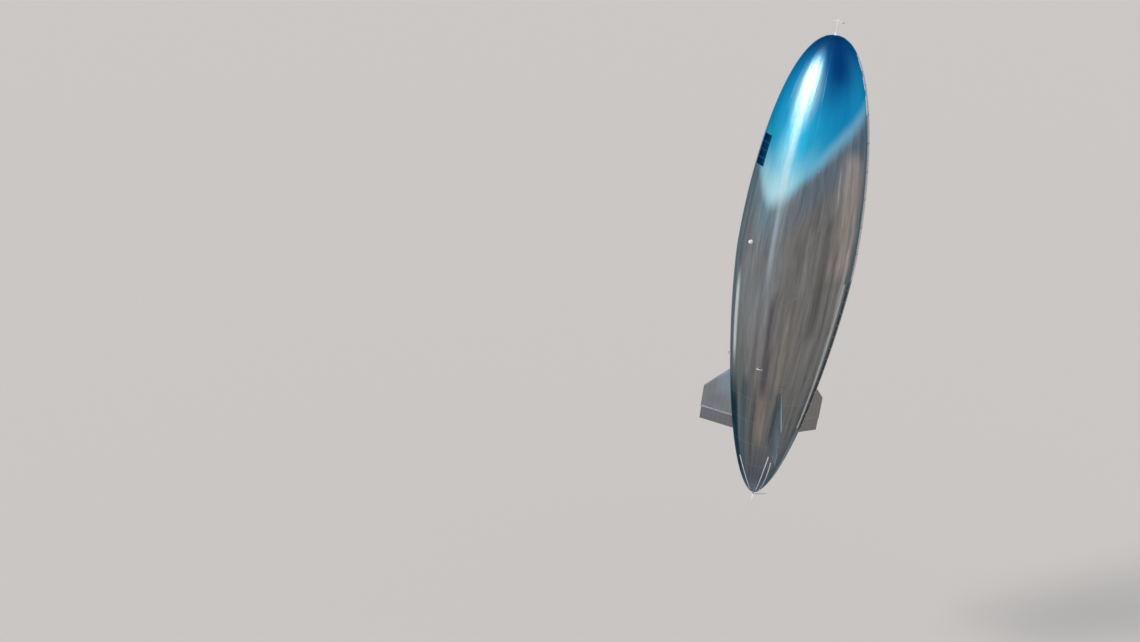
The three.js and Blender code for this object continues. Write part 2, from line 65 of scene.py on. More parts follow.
# The stage: a wide pale floor well below the tail, a soft sky and one broad soft light on the belly side.
FLOOR_BELOW_TAIL = 15.1
FLOOR_WIDTH = 6000
tail_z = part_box("envelope")[0].z
bpy.ops.mesh.primitive_plane_add(size=FLOOR_WIDTH, location=(0, 0, tail_z - FLOOR_BELOW_TAIL))
floor = bpy.context.object
floor.name = "floor"
floor_paint = bpy.data.materials.new("pale floor")
floor_paint.use_nodes = True
floor_shader = floor_paint.node_tree.nodes["Principled BSDF"]
floor_shader.inputs["Base Color"].default_value = (0.60, 0.56, 0.53, 1)
floor_shader.inputs["Roughness"].default_value = 0.9
floor.data.materials.append(floor_paint)

sky = bpy.data.worlds.new("studio")
bpy.context.scene.world = sky
sky.use_nodes = True
sky.node_tree.nodes["Background"].inputs["Color"].default_value = (0.90, 0.95, 1.0, 1)
sky.node_tree.nodes["Background"].inputs["Strength"].default_value = 0.72
bpy.context.scene.view_settings.view_transform = "Standard"

LIGHT_AZIMUTH = -7.3
LIGHT_ELEVATION = 30.0
light_azimuth, light_elevation = math.radians(LIGHT_AZIMUTH), math.radians(LIGHT_ELEVATION)
light_from = Vector((math.sin(light_azimuth) * math.cos(light_elevation),
                     -math.cos(light_azimuth) * math.cos(light_elevation), math.sin(light_elevation)))
key = bpy.data.objects.new("key light", bpy.data.lights.new("key light", "SUN"))
bpy.context.scene.collection.objects.link(key)
key.data.energy = 2.0
key.data.angle = math.radians(14)
key.data.color = (1.0, 0.97, 0.93)
key.rotation_mode = "QUATERNION"
key.rotation_quaternion = light_from.to_track_quat("Z", "Y")

# The envelope: gores of metallised film, sealed edge to edge, which the gas draws into a slender drop.
# It is drawn out ring by ring from the nose opening, then pinched along its seams and wrinkled a little.
HULL_LENGTH = 32.875
HULL_RADIUS = 4.08
NOSE_Z = 15.1
WIDEST_STATION = 0.45 * HULL_LENGTH
NOSE_OPENING = 0.02
TAIL_OPENING = HULL_LENGTH - 0.1
GORES = 24
HULL_SIDES = 8 * GORES
HULL_RINGS = 150
PINCH_AT_SEAMS = 0.007
WRINKLE_DEPTH = 0.005
PLAIN_WITHIN = 0.3
WELD = 1e-5


def hull_radius(station):
    if station < WIDEST_STATION:
        reach, fullness, roundness = WIDEST_STATION, 1.934, 2.219
    else:
        reach, fullness, roundness = HULL_LENGTH - WIDEST_STATION, 1.436, 1.764
    along = abs(station - WIDEST_STATION) / reach
    return HULL_RADIUS * max(0.0, 1 - along ** fullness) ** (1 / roundness)


def start(name, kind, **settings):
    """Adds a primitive on its own and leaves it in edit mode, selected all over."""
    bpy.ops.object.select_all(action="DESELECT")
    getattr(bpy.ops.mesh, f"primitive_{kind}_add")(**settings)
    piece = bpy.context.object
    piece.name = name
    piece.data.name = name
    bpy.ops.object.mode_set(mode="EDIT")
    return piece


def leave(piece, angle=35):
    """Ends edit mode, puts the piece's place into its mesh and shades it smooth."""
    bpy.ops.object.mode_set(mode="OBJECT")
    bpy.ops.object.transform_apply(location=True, rotation=True, scale=True)
    bpy.ops.object.shade_smooth_by_angle(angle=math.radians(angle))
    return piece


def edit_all():
    bpy.ops.object.mode_set(mode="EDIT")
    bpy.ops.mesh.select_all(action="SELECT")


def weld(within=WELD):
    """Melts points that lie on each other, in edit mode, and turns all faces outwards."""
    bpy.ops.mesh.select_all(action="SELECT")
    bpy.ops.mesh.remove_doubles(threshold=within)
    bpy.ops.mesh.normals_make_consistent(inside=False)


def turned(name, profile, sides=48, closed=False, angle=35, base=0.0):
    """A turned piece about Z, drawn out from ring to ring. Heights are over the base.

    It is capped at both ends or, if closed, its last ring meets the first.
    """
    profile = [(radius, base + height) for radius, height in profile]
    if closed:
        profile.append(profile[0])
    radius, height = profile[0]
    piece = start(name, "circle", vertices=sides, radius=radius, location=(0, 0, height))
    if not closed:
        bpy.ops.mesh.edge_face_add()
    for next_radius, next_height in profile[1:]:
        bpy.ops.mesh.extrude_region_move(TRANSFORM_OT_translate={"value": (0, 0, next_height - height)})
        ratio = next_radius / radius
        bpy.ops.transform.resize(value=(ratio, ratio, 1), center_override=(0, 0, next_height))
        radius, height = next_radius, next_height
    weld(2 * WELD)
    return leave(piece, angle)


class Wire:
    """A value in a material. Operators on it add Math nodes, and node() adds any other node."""

    def __init__(self, tree, socket=None):
        self.tree = tree
        self.socket = socket

    def node(self, kind, inputs, output=0, stops=(), **settings):
        new = self.tree.nodes.new("ShaderNode" + kind)
        for name, value in settings.items():
            setattr(new, name, value)
        for position, colour in stops[1:-1]:
            new.color_ramp.elements.new(position).color = (*colour, 1)
        if stops:
            new.color_ramp.elements[0].color = (*stops[0][1], 1)
            new.color_ramp.elements[-1].color = (*stops[-1][1], 1)
        for key_name, value in inputs.items():
            if isinstance(value, Wire):
                self.tree.links.new(value.socket, new.inputs[key_name])
            else:
                new.inputs[key_name].default_value = value
        return Wire(self.tree, new.outputs[output])

    def maths(self, operation, *others):
        return self.node("Math", dict(enumerate((self, *others))), operation=operation)

    def __add__(self, other):
        return self.maths("ADD", other)

    def __mul__(self, other):
        return self.maths("MULTIPLY", other)

    def __sub__(self, other):
        return self.maths("SUBTRACT", other)

    def __truediv__(self, other):
        return self.maths("DIVIDE", other)

    def __rsub__(self, other):
        return self.node("Math", {0: other, 1: self}, operation="SUBTRACT")

    __radd__ = __add__
    __rmul__ = __mul__

    def parts(self):
        return [self.node("SeparateXYZ", {0: self}, output=axis) for axis in range(3)]

    def rises(self, low, high):
        """0 below low and 1 above high, eased between them. It falls where low is the greater."""
        return self.node("MapRange", {0: self, 1: low, 2: high}, interpolation_type="SMOOTHSTEP")

    def near(self, middle, reach):
        """1 at the middle, eased to 0 at its reach."""
        return (self - middle).maths("ABSOLUTE").rises(reach, 0.0)

    def line(self, pitch, width, shift=0.0):
        """1 on lines at every pitch, each as wide as given."""
        off = (self / pitch + (shift + 0.5)).maths("FRACT") - 0.5
        return (off.maths("ABSOLUTE") * pitch).rises(0.5 * width, 0.3 * width)

    def ramp(self, stops):
        return self.node("ValToRGB", {0: self}, stops=stops)

    def tinted(self, colour, share):
        """This colour, mixed towards another by a share."""
        other = colour if isinstance(colour, Wire) else (*colour, 1)
        return self.node("Mix", {0: share, 6: self, 7: other}, output=2, data_type="RGBA")

    def tints(self, *rows):
        """This colour, mixed in turn towards each row's colour by the row's share."""
        mixed = self
        for colour, share in rows:
            mixed = mixed.tinted(colour, share)
        return mixed

    def shaded(self, factor):
        """This colour, made darker or lighter by a factor."""
        inputs = {0: 1.0, 6: self, 7: factor}
        return self.node("Mix", inputs, output=2, data_type="RGBA", blend_type="MULTIPLY")

    def noise(self, scale, detail=3.0, roughness=0.55):
        inputs = {"Vector": self, "Scale": scale, "Detail": detail, "Roughness": roughness}
        return self.node("TexNoise", inputs)


def xyz(x, y, z=0.0):
    return x.node("CombineXYZ", {0: x, 1: y, 2: z})


def new_finish(name, colour, roughness, metallic=0.0, coat=0.0, edge_tint=(1, 1, 1)):
    """A material, and the place on the piece that its patterns start from."""
    material = bpy.data.materials.new(name)
    material.use_nodes = True
    shader = material.node_tree.nodes["Principled BSDF"]
    shader.inputs["Base Color"].default_value = (*colour, 1)
    shader.inputs["Roughness"].default_value = roughness
    shader.inputs["Metallic"].default_value = metallic
    shader.inputs["Coat Weight"].default_value = coat
    shader.inputs["Specular Tint"].default_value = (*edge_tint, 1)
    return material, Wire(material.node_tree).node("TexCoord", {}, output="Object")


def dress(material, colour, roughness, height, distance, strength=0.5):
    """Feeds a shader its colour, its roughness and, as a bump, a height in parts of the distance."""
    shader = material.node_tree.nodes["Principled BSDF"]
    bump = height.node("Bump", {"Strength": strength, "Distance": distance, "Height": height})
    for socket, wire in (("Base Color", colour), ("Roughness", roughness), ("Normal", bump)):
        wire.tree.links.new(wire.socket, shader.inputs[socket])


def mottled(name, colour, roughness, patches, stops, rough, grain, **settings):
    """A finish with one noise in its colour and roughness, and a finer one as its bump."""
    material, place = new_finish(name, colour, roughness, **settings)
    patch = place.noise(*patches)
    dress(material, patch.ramp(stops), rough[0] + rough[1] * patch, place.noise(*grain[:2]), *grain[2:])
    return material


def fit(piece, material, body, slot, *nodes):
    """Paints a finished piece, sets it on its body and hides the nodes it stands for."""
    piece.data.materials.clear()
    piece.data.materials.append(material)
    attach(piece, body)
    if nodes:
        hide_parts(*nodes)
    return piece


hull_stations = [NOSE_OPENING + (TAIL_OPENING - NOSE_OPENING) * (1 - math.cos(math.pi * i / HULL_RINGS)) / 2
                 for i in range(HULL_RINGS + 1)]
envelope = turned("envelope_film", [(hull_radius(s), NOSE_Z - s) for s in hull_stations], HULL_SIDES)
for point in envelope.data.vertices:
    radius = math.hypot(point.co.x, point.co.y)
    if radius < PLAIN_WITHIN:
        continue
    angle = math.atan2(point.co.x, -point.co.y)
    off_seam = abs(math.sin(GORES * angle / 2))
    ease = min(1.0, radius / 2)
    wrinkle = noise.noise(Vector((5 * math.sin(angle), 5 * math.cos(angle), 0.22 * point.co.z)))
    wrinkle += 0.5 * noise.noise(Vector((11 * math.sin(angle), 11 * math.cos(angle), 0.5 * point.co.z + 7)))
    drawn_in = ease * (PINCH_AT_SEAMS * (1 - off_seam) ** 2 + WRINKLE_DEPTH * (wrinkle + 0.75))
    point.co.x *= 1 - drawn_in / radius
    point.co.y *= 1 - drawn_in / radius

film, place = new_finish(
    "metallised film", (0.24, 0.23, 0.23), 0.3, metallic=1.0, edge_tint=(0.30, 0.50, 0.58))
x, y, z = place.parts()
station = NOSE_Z - z
turn = x.maths("ARCTAN2", y * -1)
azimuth = turn * math.degrees(1)
from_axis = (x * x + y * y).maths("SQRT")
cloud = xyz(x / from_axis, y / from_axis, z * 0.25).noise(1.3, 2)
wander = 0.09 * (cloud - 0.5)
meridian = xyz(x / from_axis + wander, y / from_axis + wander, z * 0.018)
streak = meridian.noise(8, 3, 0.6)
fine_streak = meridian.noise(30, 3, 0.6)

# Its nose is blue down to a slanting edge, which is pale near the belly and slate on the flank.
# The blue and its slanting edge are a painted reflection of the sky and the horizon in the mirror film.
BOUNDARY = (6.35, 3.72, 0.55, 0.35)
BOUNDARY_AZIMUTH = 6
from_peak = turn - math.radians(BOUNDARY_AZIMUTH)
boundary = BOUNDARY[0] - 1.6 * azimuth.rises(16, -20) - 0.35 * azimuth.rises(25, 45) + sum(
    (BOUNDARY[k] * (from_peak * k).maths("COSINE") for k in (2, 3)), BOUNDARY[1] * from_peak.maths("COSINE"))
above = boundary - station + 0.6 * (cloud - 0.5) + 0.2 * (streak - 0.5)
blue = (station / 11).ramp([
    (0.0, (0.010, 0.07, 0.20)),
    (0.06, (0.012, 0.10, 0.27)),
    (0.15, (0.016, 0.20, 0.46)),
    (0.27, (0.020, 0.32, 0.62)),
    (0.45, (0.024, 0.40, 0.70)),
    (0.64, (0.03, 0.48, 0.76)),
    (1.0, (0.10, 0.58, 0.84)),
])
# Deep navy high on the flank and mid blue below it: painted reflections of the sky.
blue = blue.tints(
    ((0.0, 0.05, 0.22), azimuth.near(64, 44) * station.near(1.8, 4.0) * 0.92),
    ((0.0, 0.27, 0.60), azimuth.near(76, 46) * station.near(5.2, 3.0) * 0.6),
).shaded(1 + 0.25 * (streak - 0.5) + 0.3 * (cloud - 0.5))
# A pale fan and a ray that run down from the key light's glint, and a pale glow round it: painted highlight
# and reflections.
fan = ((azimuth - 15) / (14 + 3.2 * (station - 5).maths("MAXIMUM", 0.0))).near(0, 1)
ray = azimuth.near(21.9, 8.5) * station.rises(4.2, 5.6)
glow_across = (azimuth - 21.8) * (1 + 0.15 * (station - 3.4).maths("MAXIMUM", 0.0)) / 26
glow_along = (station - 3.65) / 3.1
painted_glow = (glow_across * glow_across + glow_along * glow_along).rises(1.1, 0.0)
# Along the edge, a pale band on the flank and a whitish zone near the belly: painted reflections of the
# horizon, then the painted fan, ray and glow.
blue = blue.tints(
    ((0.30, 0.62, 0.80), azimuth.rises(38, 58) * above.rises(1.3, 0.2) * 0.7),
    ((0.30, 0.72, 0.86), fan * station.rises(4.8, 8.5) * 0.8),
    ((0.50, 0.84, 0.94), azimuth.near(12, 48) * above.rises(2.6, 0.6)),
    ((0.56, 0.80, 0.87), ray * 0.65),
    ((0.34, 0.58, 0.65), painted_glow * 0.8))

# The rest is silver with long streaks, warm, grey and bluish by turns: painted reflections of the ground and
# its shadows.
silver = (station / HULL_LENGTH).ramp([
    (0.0, (0.25, 0.243, 0.24)),
    (0.5, (0.243, 0.24, 0.239)),
    (0.75, (0.228, 0.225, 0.222)),
    (0.88, (0.165, 0.178, 0.188)),
    (0.95, (0.125, 0.145, 0.175)),
    (1.0, (0.23, 0.245, 0.29)),
])
# Lighter grey near the belly, slate and bluish under the blue edge: painted reflections.
silver = silver.tints(
    ((0.275, 0.295, 0.315), azimuth.rises(42, 22) * station.rises(24, 17) * 0.85),
    ((0.15, 0.20, 0.25), azimuth.rises(32, 44) * above.near(-1.2, 2.6) * 0.85),
    ((0.20, 0.32, 0.40), azimuth.near(6, 44) * above.rises(-4.2, -0.6) * 0.9))
# Each streak below is a painted reflection of the ground or of a shadow on it.
streaks = [
    # azimuth, its drift per metre, reach, from station, to station, colour, share
    (94, 0.0, 24, 7.0, 15.5, (0.45, 0.40, 0.375), 0.85),
    (96, 0.0, 3.5, 9.0, 14.0, (0.52, 0.47, 0.45), 0.4),
    (78, 0.0, 1.8, 7.8, 11.0, (0.60, 0.57, 0.55), 0.5),
    (103, 0.2, 5.0, 10.5, 23.0, (0.55, 0.51, 0.48), 0.85),
    (61, -0.5, 4.0, 9.6, 12.8, (0.13, 0.13, 0.135), 0.6),
    (57, 0.4, 4.0, 12.0, 16.5, (0.34, 0.33, 0.325), 0.5),
    (34, 0.2, 8.0, 12.0, 17.0, (0.29, 0.315, 0.34), 0.6),
    (73, 0.3, 8.0, 11.0, 20.0, (0.145, 0.143, 0.14), 0.8),
    (87, 0.2, 3.0, 13.0, 20.0, (0.15, 0.145, 0.14), 0.6),
    (10, 0.3, 7.0, 18.0, 24.0, (0.30, 0.305, 0.32), 0.4),
    (32, 0.6, 6.0, 17.0, 25.5, (0.135, 0.125, 0.145), 0.85),
    (52, 0.3, 9.0, 18.0, 24.5, (0.34, 0.315, 0.29), 0.55),
    (80, 0.2, 4.0, 24.0, 27.5, (0.23, 0.24, 0.19), 0.5),
    (110.5, 0.0, 2.2, 23.0, 25.6, (0.09, 0.08, 0.08), 0.8),
    (38, 0.3, 12.0, 24.0, 28.6, (0.34, 0.295, 0.255), 0.8),
    (10, -0.4, 15.0, 23.2, 32.2, (0.12, 0.165, 0.19), 0.9),
    (26, 0.0, 5.0, 24.0, 29.5, (0.12, 0.135, 0.15), 0.7),
    (-0.5, 0.3, 1.4, 24.6, 31.2, (0.34, 0.40, 0.46), 0.7),
    (77, 0.0, 16.0, 25.2, 30.5, (0.195, 0.215, 0.22), 0.7),
    (112, 0.0, 17.0, 27.0, 32.2, (0.46, 0.43, 0.40), 0.75),
]
for middle, drift, reach, first, last, colour, share in streaks:
    across = (azimuth - drift * (station - first) - middle + 6 * (cloud - 0.5)).near(0, reach)
    along = station.rises(first - 0.5, first + 1.1) * station.rises(last + 0.5, last - 1.1)
    silver = silver.tinted(colour, across * along * share)
silver = silver.shaded(1 + 1.3 * (streak - 0.5) + 0.6 * (fine_streak - 0.5))
# Painted reflections: a pale ray that runs on down from the glint, a dark teal band low on the left and a
# bright white line above it.
low_ray = (azimuth - 0.2 * (station - 5.5) - 22.3).near(0, 4.2) * station.rises(18.5, 14.0)
painted_dark_band = station.rises(22.9, 26.2) * station.rises(33.0, 30.5)
painted_bright_line = azimuth.near(-14.5, 6.2) * station.rises(15.4, 18.2) * station.rises(23.4, 20.8)
silver = silver.tints(
    ((0.42, 0.51, 0.59), low_ray * 0.85),
    ((0.045, 0.062, 0.088), azimuth.rises(2.0, -8.0) * azimuth.rises(-30, -20) * painted_dark_band),
    ((1.0, 1.0, 1.0), painted_bright_line * 1.3))

film_colour = silver.tinted(blue, above.rises(-0.8, 0.6))
seam = azimuth.line(360 / GORES, 0.5)
band = (station - 24.9).line(1.76, 0.045) * station.rises(22, 24)
edge_tape = seam.maths("MAXIMUM", band) * (0.30 * station.rises(7, 23) + 0.04)
crumple = xyz(x, y, z * 0.35).noise(2.2, 4, 0.55)
dress(film, film_colour.tinted((0.30, 0.38, 0.42), edge_tape), 0.22 + 0.2 * fine_streak + 0.08 * seam,
      crumple + 0.5 * fine_streak - 0.25 * seam, 0.02)
fit(envelope, film, "hull", "hull_film", "envelope")

# The nose cap: a dish of the same film, laid double over the nose opening and bonded down, with a welt
# of film round its rim.
CAP_RIM = 0.13
CAP_WALL = 0.0138
CAP_TOP = NOSE_Z + 0.014
WELT = [(0.100, 0.011), (0.102, 0.0165), (0.122, 0.0165), (0.124, 0.011)]


def skin_point(azimuth, station, offset=0.0):
    """A point over the hull's skin, at an offset square to it."""
    angle = math.radians(azimuth)
    slope = (hull_radius(station + 0.001) - hull_radius(station - 0.001)) / 0.002
    length = math.hypot(1, slope)
    radius = hull_radius(station) + offset / length
    return Vector((radius * math.sin(angle), -radius * math.cos(angle),
                   NOSE_Z - station + offset * slope / length))


def ring_at(station, offset):
    """Radius and height of a ring round the hull, at an offset square to its skin."""
    point = skin_point(90, station, offset)
    return point.x, point.z


cap_profile = [(0.03, CAP_TOP), (0.2, CAP_TOP)]
cap_profile += [ring_at(NOSE_OPENING + (CAP_RIM - NOSE_OPENING) * k / 8, CAP_WALL) for k in range(9)]
cap_profile += [ring_at(CAP_RIM + 0.002, CAP_WALL - 0.003), ring_at(CAP_RIM + 0.0025, -0.02)]
fit(turned("nose_cap_film", cap_profile, 96), film, "hull", "hull_film", "nose_cap")

welt = turned("nose_cap_welt", [ring_at(*edge) for edge in WELT], 96, closed=True)
fit(welt, film, "hull", "hull_film")

# The mast's cone: a spun foot with a flange that is bolted through the nose cap, and four gussets. Like
# the other fittings it is painted white.
GUSSET_X = 0.115
white = mottled(
    "white paint", (0.80, 0.81, 0.80), 0.42, (4.0, 5, 0.65), [
        (0.0, (0.50, 0.49, 0.46)), (0.38, (0.74, 0.74, 0.72)), (0.6, (0.83, 0.84, 0.83)),
        (1.0, (0.87, 0.88, 0.88))], rough=(0.34, 0.22), grain=(60, 2, 0.0008, 0.35), coat=0.25)
metal = mottled(
    "bare aluminium", (0.62, 0.64, 0.66), 0.35, (18, 5, 0.7), [
        (0.0, (0.42, 0.43, 0.45)), (1.0, (0.74, 0.76, 0.78))],
    rough=(0.24, 0.25), grain=(220, 2, 0.0004, 0.3), metallic=1.0)


def pick(pieces):
    """Selects these pieces alone, and makes the first the active one."""
    bpy.ops.object.select_all(action="DESELECT")
    for piece in pieces:
        piece.select_set(True)
    bpy.context.view_layer.objects.active = pieces[0]


def joined(name, pieces):
    """Pieces joined as one."""
    pick(pieces)
    bpy.ops.object.join()
    pieces[0].name = name
    pieces[0].data.name = name
    return pieces[0]


def repeated(name, piece, places):
    """A copy of the piece at each place, joined as one. The piece itself is the pattern and goes."""
    copies = []
    for matrix in places:
        copy = piece.copy()
        copy.data = piece.data.copy()
        copy.data.transform(matrix)
        bpy.context.scene.collection.objects.link(copy)
        copies.append(copy)
    bpy.data.objects.remove(piece)
    return joined(name, copies)


def rotation(degrees, axis="Z"):
    return Matrix.Rotation(math.radians(degrees), 4, axis)


def round_the_axis(count, first=0.0):
    return [rotation(first + 360 * i / count) for i in range(count)]


def bolt(radius, at):
    """A washer and a hexagon head, standing on a place."""
    rings = [(1.7 * radius, 0), (1.7 * radius, 0.25 * radius), (1.4 * radius, 0.4 * radius)]
    washer = turned("washer", rings, 16)
    rings = [(radius, 0.3 * radius), (radius, 1.0 * radius), (0.8 * radius, 1.15 * radius)]
    piece = joined("bolt", [washer, turned("head", rings, 6, angle=20)])
    piece.data.transform(at)
    return piece


cone = turned("cone", [
    (0.150, -0.004), (0.150, 0.008), (0.146, 0.012), (0.112, 0.014), (0.100, 0.024), (0.090, 0.060),
    (0.078, 0.110), (0.066, 0.155), (0.066, 0.158), (0.070, 0.160), (0.070, 0.176), (0.066, 0.180)],
    base=CAP_TOP)
gusset = leave(start(
    "gusset", "cube", size=1, location=(GUSSET_X, 0, CAP_TOP + 0.045), scale=(0.05, 0.006, 0.075)))
for corner in gusset.data.vertices:
    if corner.co.z > CAP_TOP + 0.05:
        corner.co.x -= 0.022 if corner.co.x < GUSSET_X else 0.066
gussets = repeated("gussets", gusset, round_the_axis(4, 22.5))
fit(joined("mast_cone_shell", [cone, gussets]), white, "hull", "white_paint", "mast_cone")
cone_bolt = bolt(0.009, Matrix.Translation((0.132, 0, CAP_TOP + 0.0125)))
fit(repeated("cone_bolts", cone_bolt, round_the_axis(12)), metal, "hull", "bare_metal")

# The mast: a tapered composite tube with a sleeve at its foot, two clamps and a cap.
mast = turned("nose_mast_tube", [
    (0.044, 0.181), (0.044, 0.230), (0.040, 0.236), (0.0345, 0.238), (0.0325, 0.356), (0.037, 0.358),
    (0.037, 0.383), (0.0325, 0.386), (0.030, 0.626), (0.035, 0.628), (0.035, 0.648), (0.030, 0.651),
    (0.0265, 0.880), (0.030, 0.882), (0.030, 0.899)], 32, base=CAP_TOP)
fit(mast, white, "hull", "white_paint", "nose_mast")

# The crossbar: two drooping arms that leave the mast's knob, with a round beacon and its whip aerial at
# one end and a wind vane at the other.
ARM_Z = CAP_TOP + 0.95
ARM_LENGTH = 0.415
ARM_DROOP = math.radians(15.4)


def laid(piece, from_point, to_point):
    """Turns a piece that was made upright from the origin, so that it runs from one point to another."""
    run = Vector(to_point) - Vector(from_point)
    piece.data.transform(Matrix.Translation(from_point) @ run.to_track_quat("Z", "Y").to_matrix().to_4x4())
    return piece


def on_arm(side, distance):
    """A point on the line of the arm at one side."""
    return Vector((side * distance * math.cos(ARM_DROOP), 0, ARM_Z - distance * math.sin(ARM_DROOP)))


knob = turned("knob", [
    (0.044, -0.0495), (0.050, -0.044), (0.051, -0.022), (0.046, 0.02), (0.038, 0.044), (0.035, 0.0495)],
    32, base=ARM_Z)
arms = []
for side in (-1, 1):
    arm = turned("arm", [
        (0.020, 0.03), (0.020, 0.07), (0.0145, 0.076), (0.0125, ARM_LENGTH - 0.05),
        (0.018, ARM_LENGTH - 0.045), (0.018, ARM_LENGTH)], 20)
    arms.append(laid(arm, on_arm(side, 0), on_arm(side, 1)))
fit(joined("mast_crossbar_arms", [knob, *arms]), white, "hull", "white_paint", "mast_crossbar")
whip = turned("whip_aerial", [
    (0.011, 0.010), (0.011, 0.035), (0.006, 0.045), (0.005, 0.18), (0.0035, 0.33), (0.006, 0.332),
    (0.004, 0.345)], 12)
whip.data.transform(Matrix.Translation(on_arm(-1, ARM_LENGTH - 0.02)))
fit(whip, white, "hull", "white_paint")

lens, place = new_finish("beacon lens", (0.78, 0.84, 0.86), 0.12, coat=1.0)
frost = place.noise(40, 3)
dress(lens, frost.ramp([(0.0, (0.66, 0.74, 0.78)), (1.0, (0.88, 0.92, 0.93))]), 0.08 + 0.15 * frost,
      place.parts()[0].line(0.008, 0.004), 0.0015, 0.4)
beacon = turned("mast_beacon_lens", [
    (0.030, 0.0), (0.032, 0.006), (0.032, 0.018), (0.041, 0.022), (0.046, 0.035), (0.0465, 0.048),
    (0.042, 0.068), (0.031, 0.084), (0.016, 0.091), (0.004, 0.092)], 32)
laid(beacon, on_arm(-1, ARM_LENGTH + 0.0005), on_arm(-1, 1))
fit(beacon, lens, "hull", "white_paint", "mast_beacon")

grey = mottled("grey paint", (0.30, 0.32, 0.33), 0.45, (9, 5, 0.65), [
    (0.0, (0.16, 0.17, 0.18)), (0.5, (0.28, 0.30, 0.31)), (0.72, (0.36, 0.38, 0.39)),
    (1.0, (0.50, 0.51, 0.52))], rough=(0.35, 0.3), grain=(120, 2, 0.0006, 0.35), coat=0.1)


def slab(name, outline, thickness, bevel=0.003):
    """A plate in the YZ plane at x 0, from an outline of (y, z) points, with softened edges."""
    piece = start(name, "circle", vertices=len(outline), fill_type="NGON")
    bpy.ops.object.mode_set(mode="OBJECT")
    for point, (y, z) in zip(piece.data.vertices, outline):
        point.co = (thickness / 2, y, z)
    edit_all()
    bpy.ops.mesh.extrude_region_move(TRANSFORM_OT_translate={"value": (-thickness, 0, 0)})
    bpy.ops.mesh.select_all(action="SELECT")
    bpy.ops.mesh.normals_make_consistent(inside=False)
    bpy.ops.mesh.bevel(offset=bevel, segments=2, affect="EDGES")
    return leave(piece)


vane = slab("vane", [
    (-0.010, -0.010), (0.020, -0.012), (0.060, -0.026), (0.150, -0.030), (0.190, -0.026), (0.190, 0.026),
    (0.150, 0.030), (0.060, 0.026), (0.020, 0.012), (-0.010, 0.010)], 0.012)
nose_weight = turned("nose_weight", [
    (0.003, -0.05), (0.008, -0.045), (0.011, -0.03), (0.011, 0.0), (0.008, 0.012)], 16)
nose_weight.data.transform(rotation(-90, "X"))
post = turned("post", [(0.012, -0.0105), (0.012, 0.008)], 16)
post.data.transform(rotation(90, "Y"))
vane = joined("mast_vane_blade", [vane, nose_weight, post])
vane.data.transform(Matrix.Translation(on_arm(1, ARM_LENGTH + 0.0115)) @ Matrix.Rotation(ARM_DROOP, 4, "Y"))
fit(vane, grey, "hull", "grey_paint", "mast_vane")

# The solar modules: eight rows of thin cells on a pale carrier film, laid over the ship's back from the
# nose to the widest part. Each cell is a raised tile.
ARRAY_FROM = 1.0
ARRAY_TO = 15.8
ARRAY_HALF_ANGLE = 59.5
ARRAY_GAP = 0.07
MODULES = 8
CELLS_ACROSS = 34
CELLS_ALONG = 6
CELL_MARGIN = 0.010
CORNER_GLINT_EDGES = (117.4, 240.1)
CORNER_GLINT_WIDTH = 2.5


def wrapped(name, columns, rows, place_of, closed=False, angle=35):
    """A grid, laid where a function puts its shares u and v. If closed, its sides meet and it is capped."""
    piece = start(name, "grid", x_subdivisions=columns, y_subdivisions=rows, size=1)
    bpy.ops.object.mode_set(mode="OBJECT")
    for point in piece.data.vertices:
        point.co = place_of(point.co.x + 0.5, point.co.y + 0.5)
    edit_all()
    if closed:
        bpy.ops.mesh.remove_doubles(threshold=WELD)
        bpy.ops.mesh.fill_holes(sides=0)
        weld()
    return leave(piece, angle)


def finished_by(piece, kind, **settings):
    """Adds a modifier to a piece and applies it."""
    pick([piece])
    modifier = piece.modifiers.new(kind, kind)
    for name, value in settings.items():
        setattr(modifier, name, value)
    bpy.ops.object.modifier_apply(modifier=modifier.name)
    bpy.ops.object.shade_smooth_by_angle(angle=math.radians(35))
    return piece


def skin_sheet(name, azimuths, run, columns, rows, offset, wall):
    """A sheet that follows the hull between two azimuths and two stations, with a wall inwards."""
    piece = wrapped(name, columns, rows, lambda u, v: skin_point(
        azimuths[0] + u * (azimuths[1] - azimuths[0]), run[1] + v * (run[0] - run[1]), offset))
    return finished_by(piece, "SOLIDIFY", thickness=wall, offset=-1)


cell, place = new_finish("solar cells", (0.012, 0.022, 0.06), 0.16, coat=0.8)
x, y, z = place.parts()
azimuth = x.maths("ARCTAN2", y * -1) * math.degrees(1)
cell_number = xyz((azimuth / 3.5).maths("FLOOR"), (z / 0.31).maths("FLOOR"))
tone = place.node("TexWhiteNoise", {"Vector": cell_number})
finger = z.line(0.02, 0.006) * 0.25
busbar = azimuth.line(1.166, 0.07) * 0.5
cell_colour = tone.ramp([
    (0.0, (0.006, 0.014, 0.045)), (0.6, (0.012, 0.026, 0.075)), (1.0, (0.02, 0.045, 0.11))])
dress(cell, cell_colour.tinted((0.35, 0.38, 0.42), finger.maths("MAXIMUM", busbar)), 0.12 + 0.12 * tone,
      place.noise(1.6, 3), 0.01, 0.25)
carrier = mottled(
    "carrier film", (0.55, 0.60, 0.63), 0.4, (1.1, 4), [(0.0, (0.40, 0.45, 0.48)), (1.0, (0.66, 0.71, 0.74))],
    rough=(0.3, 0.25), grain=(9, 3, 0.004, 0.3), coat=0.3)

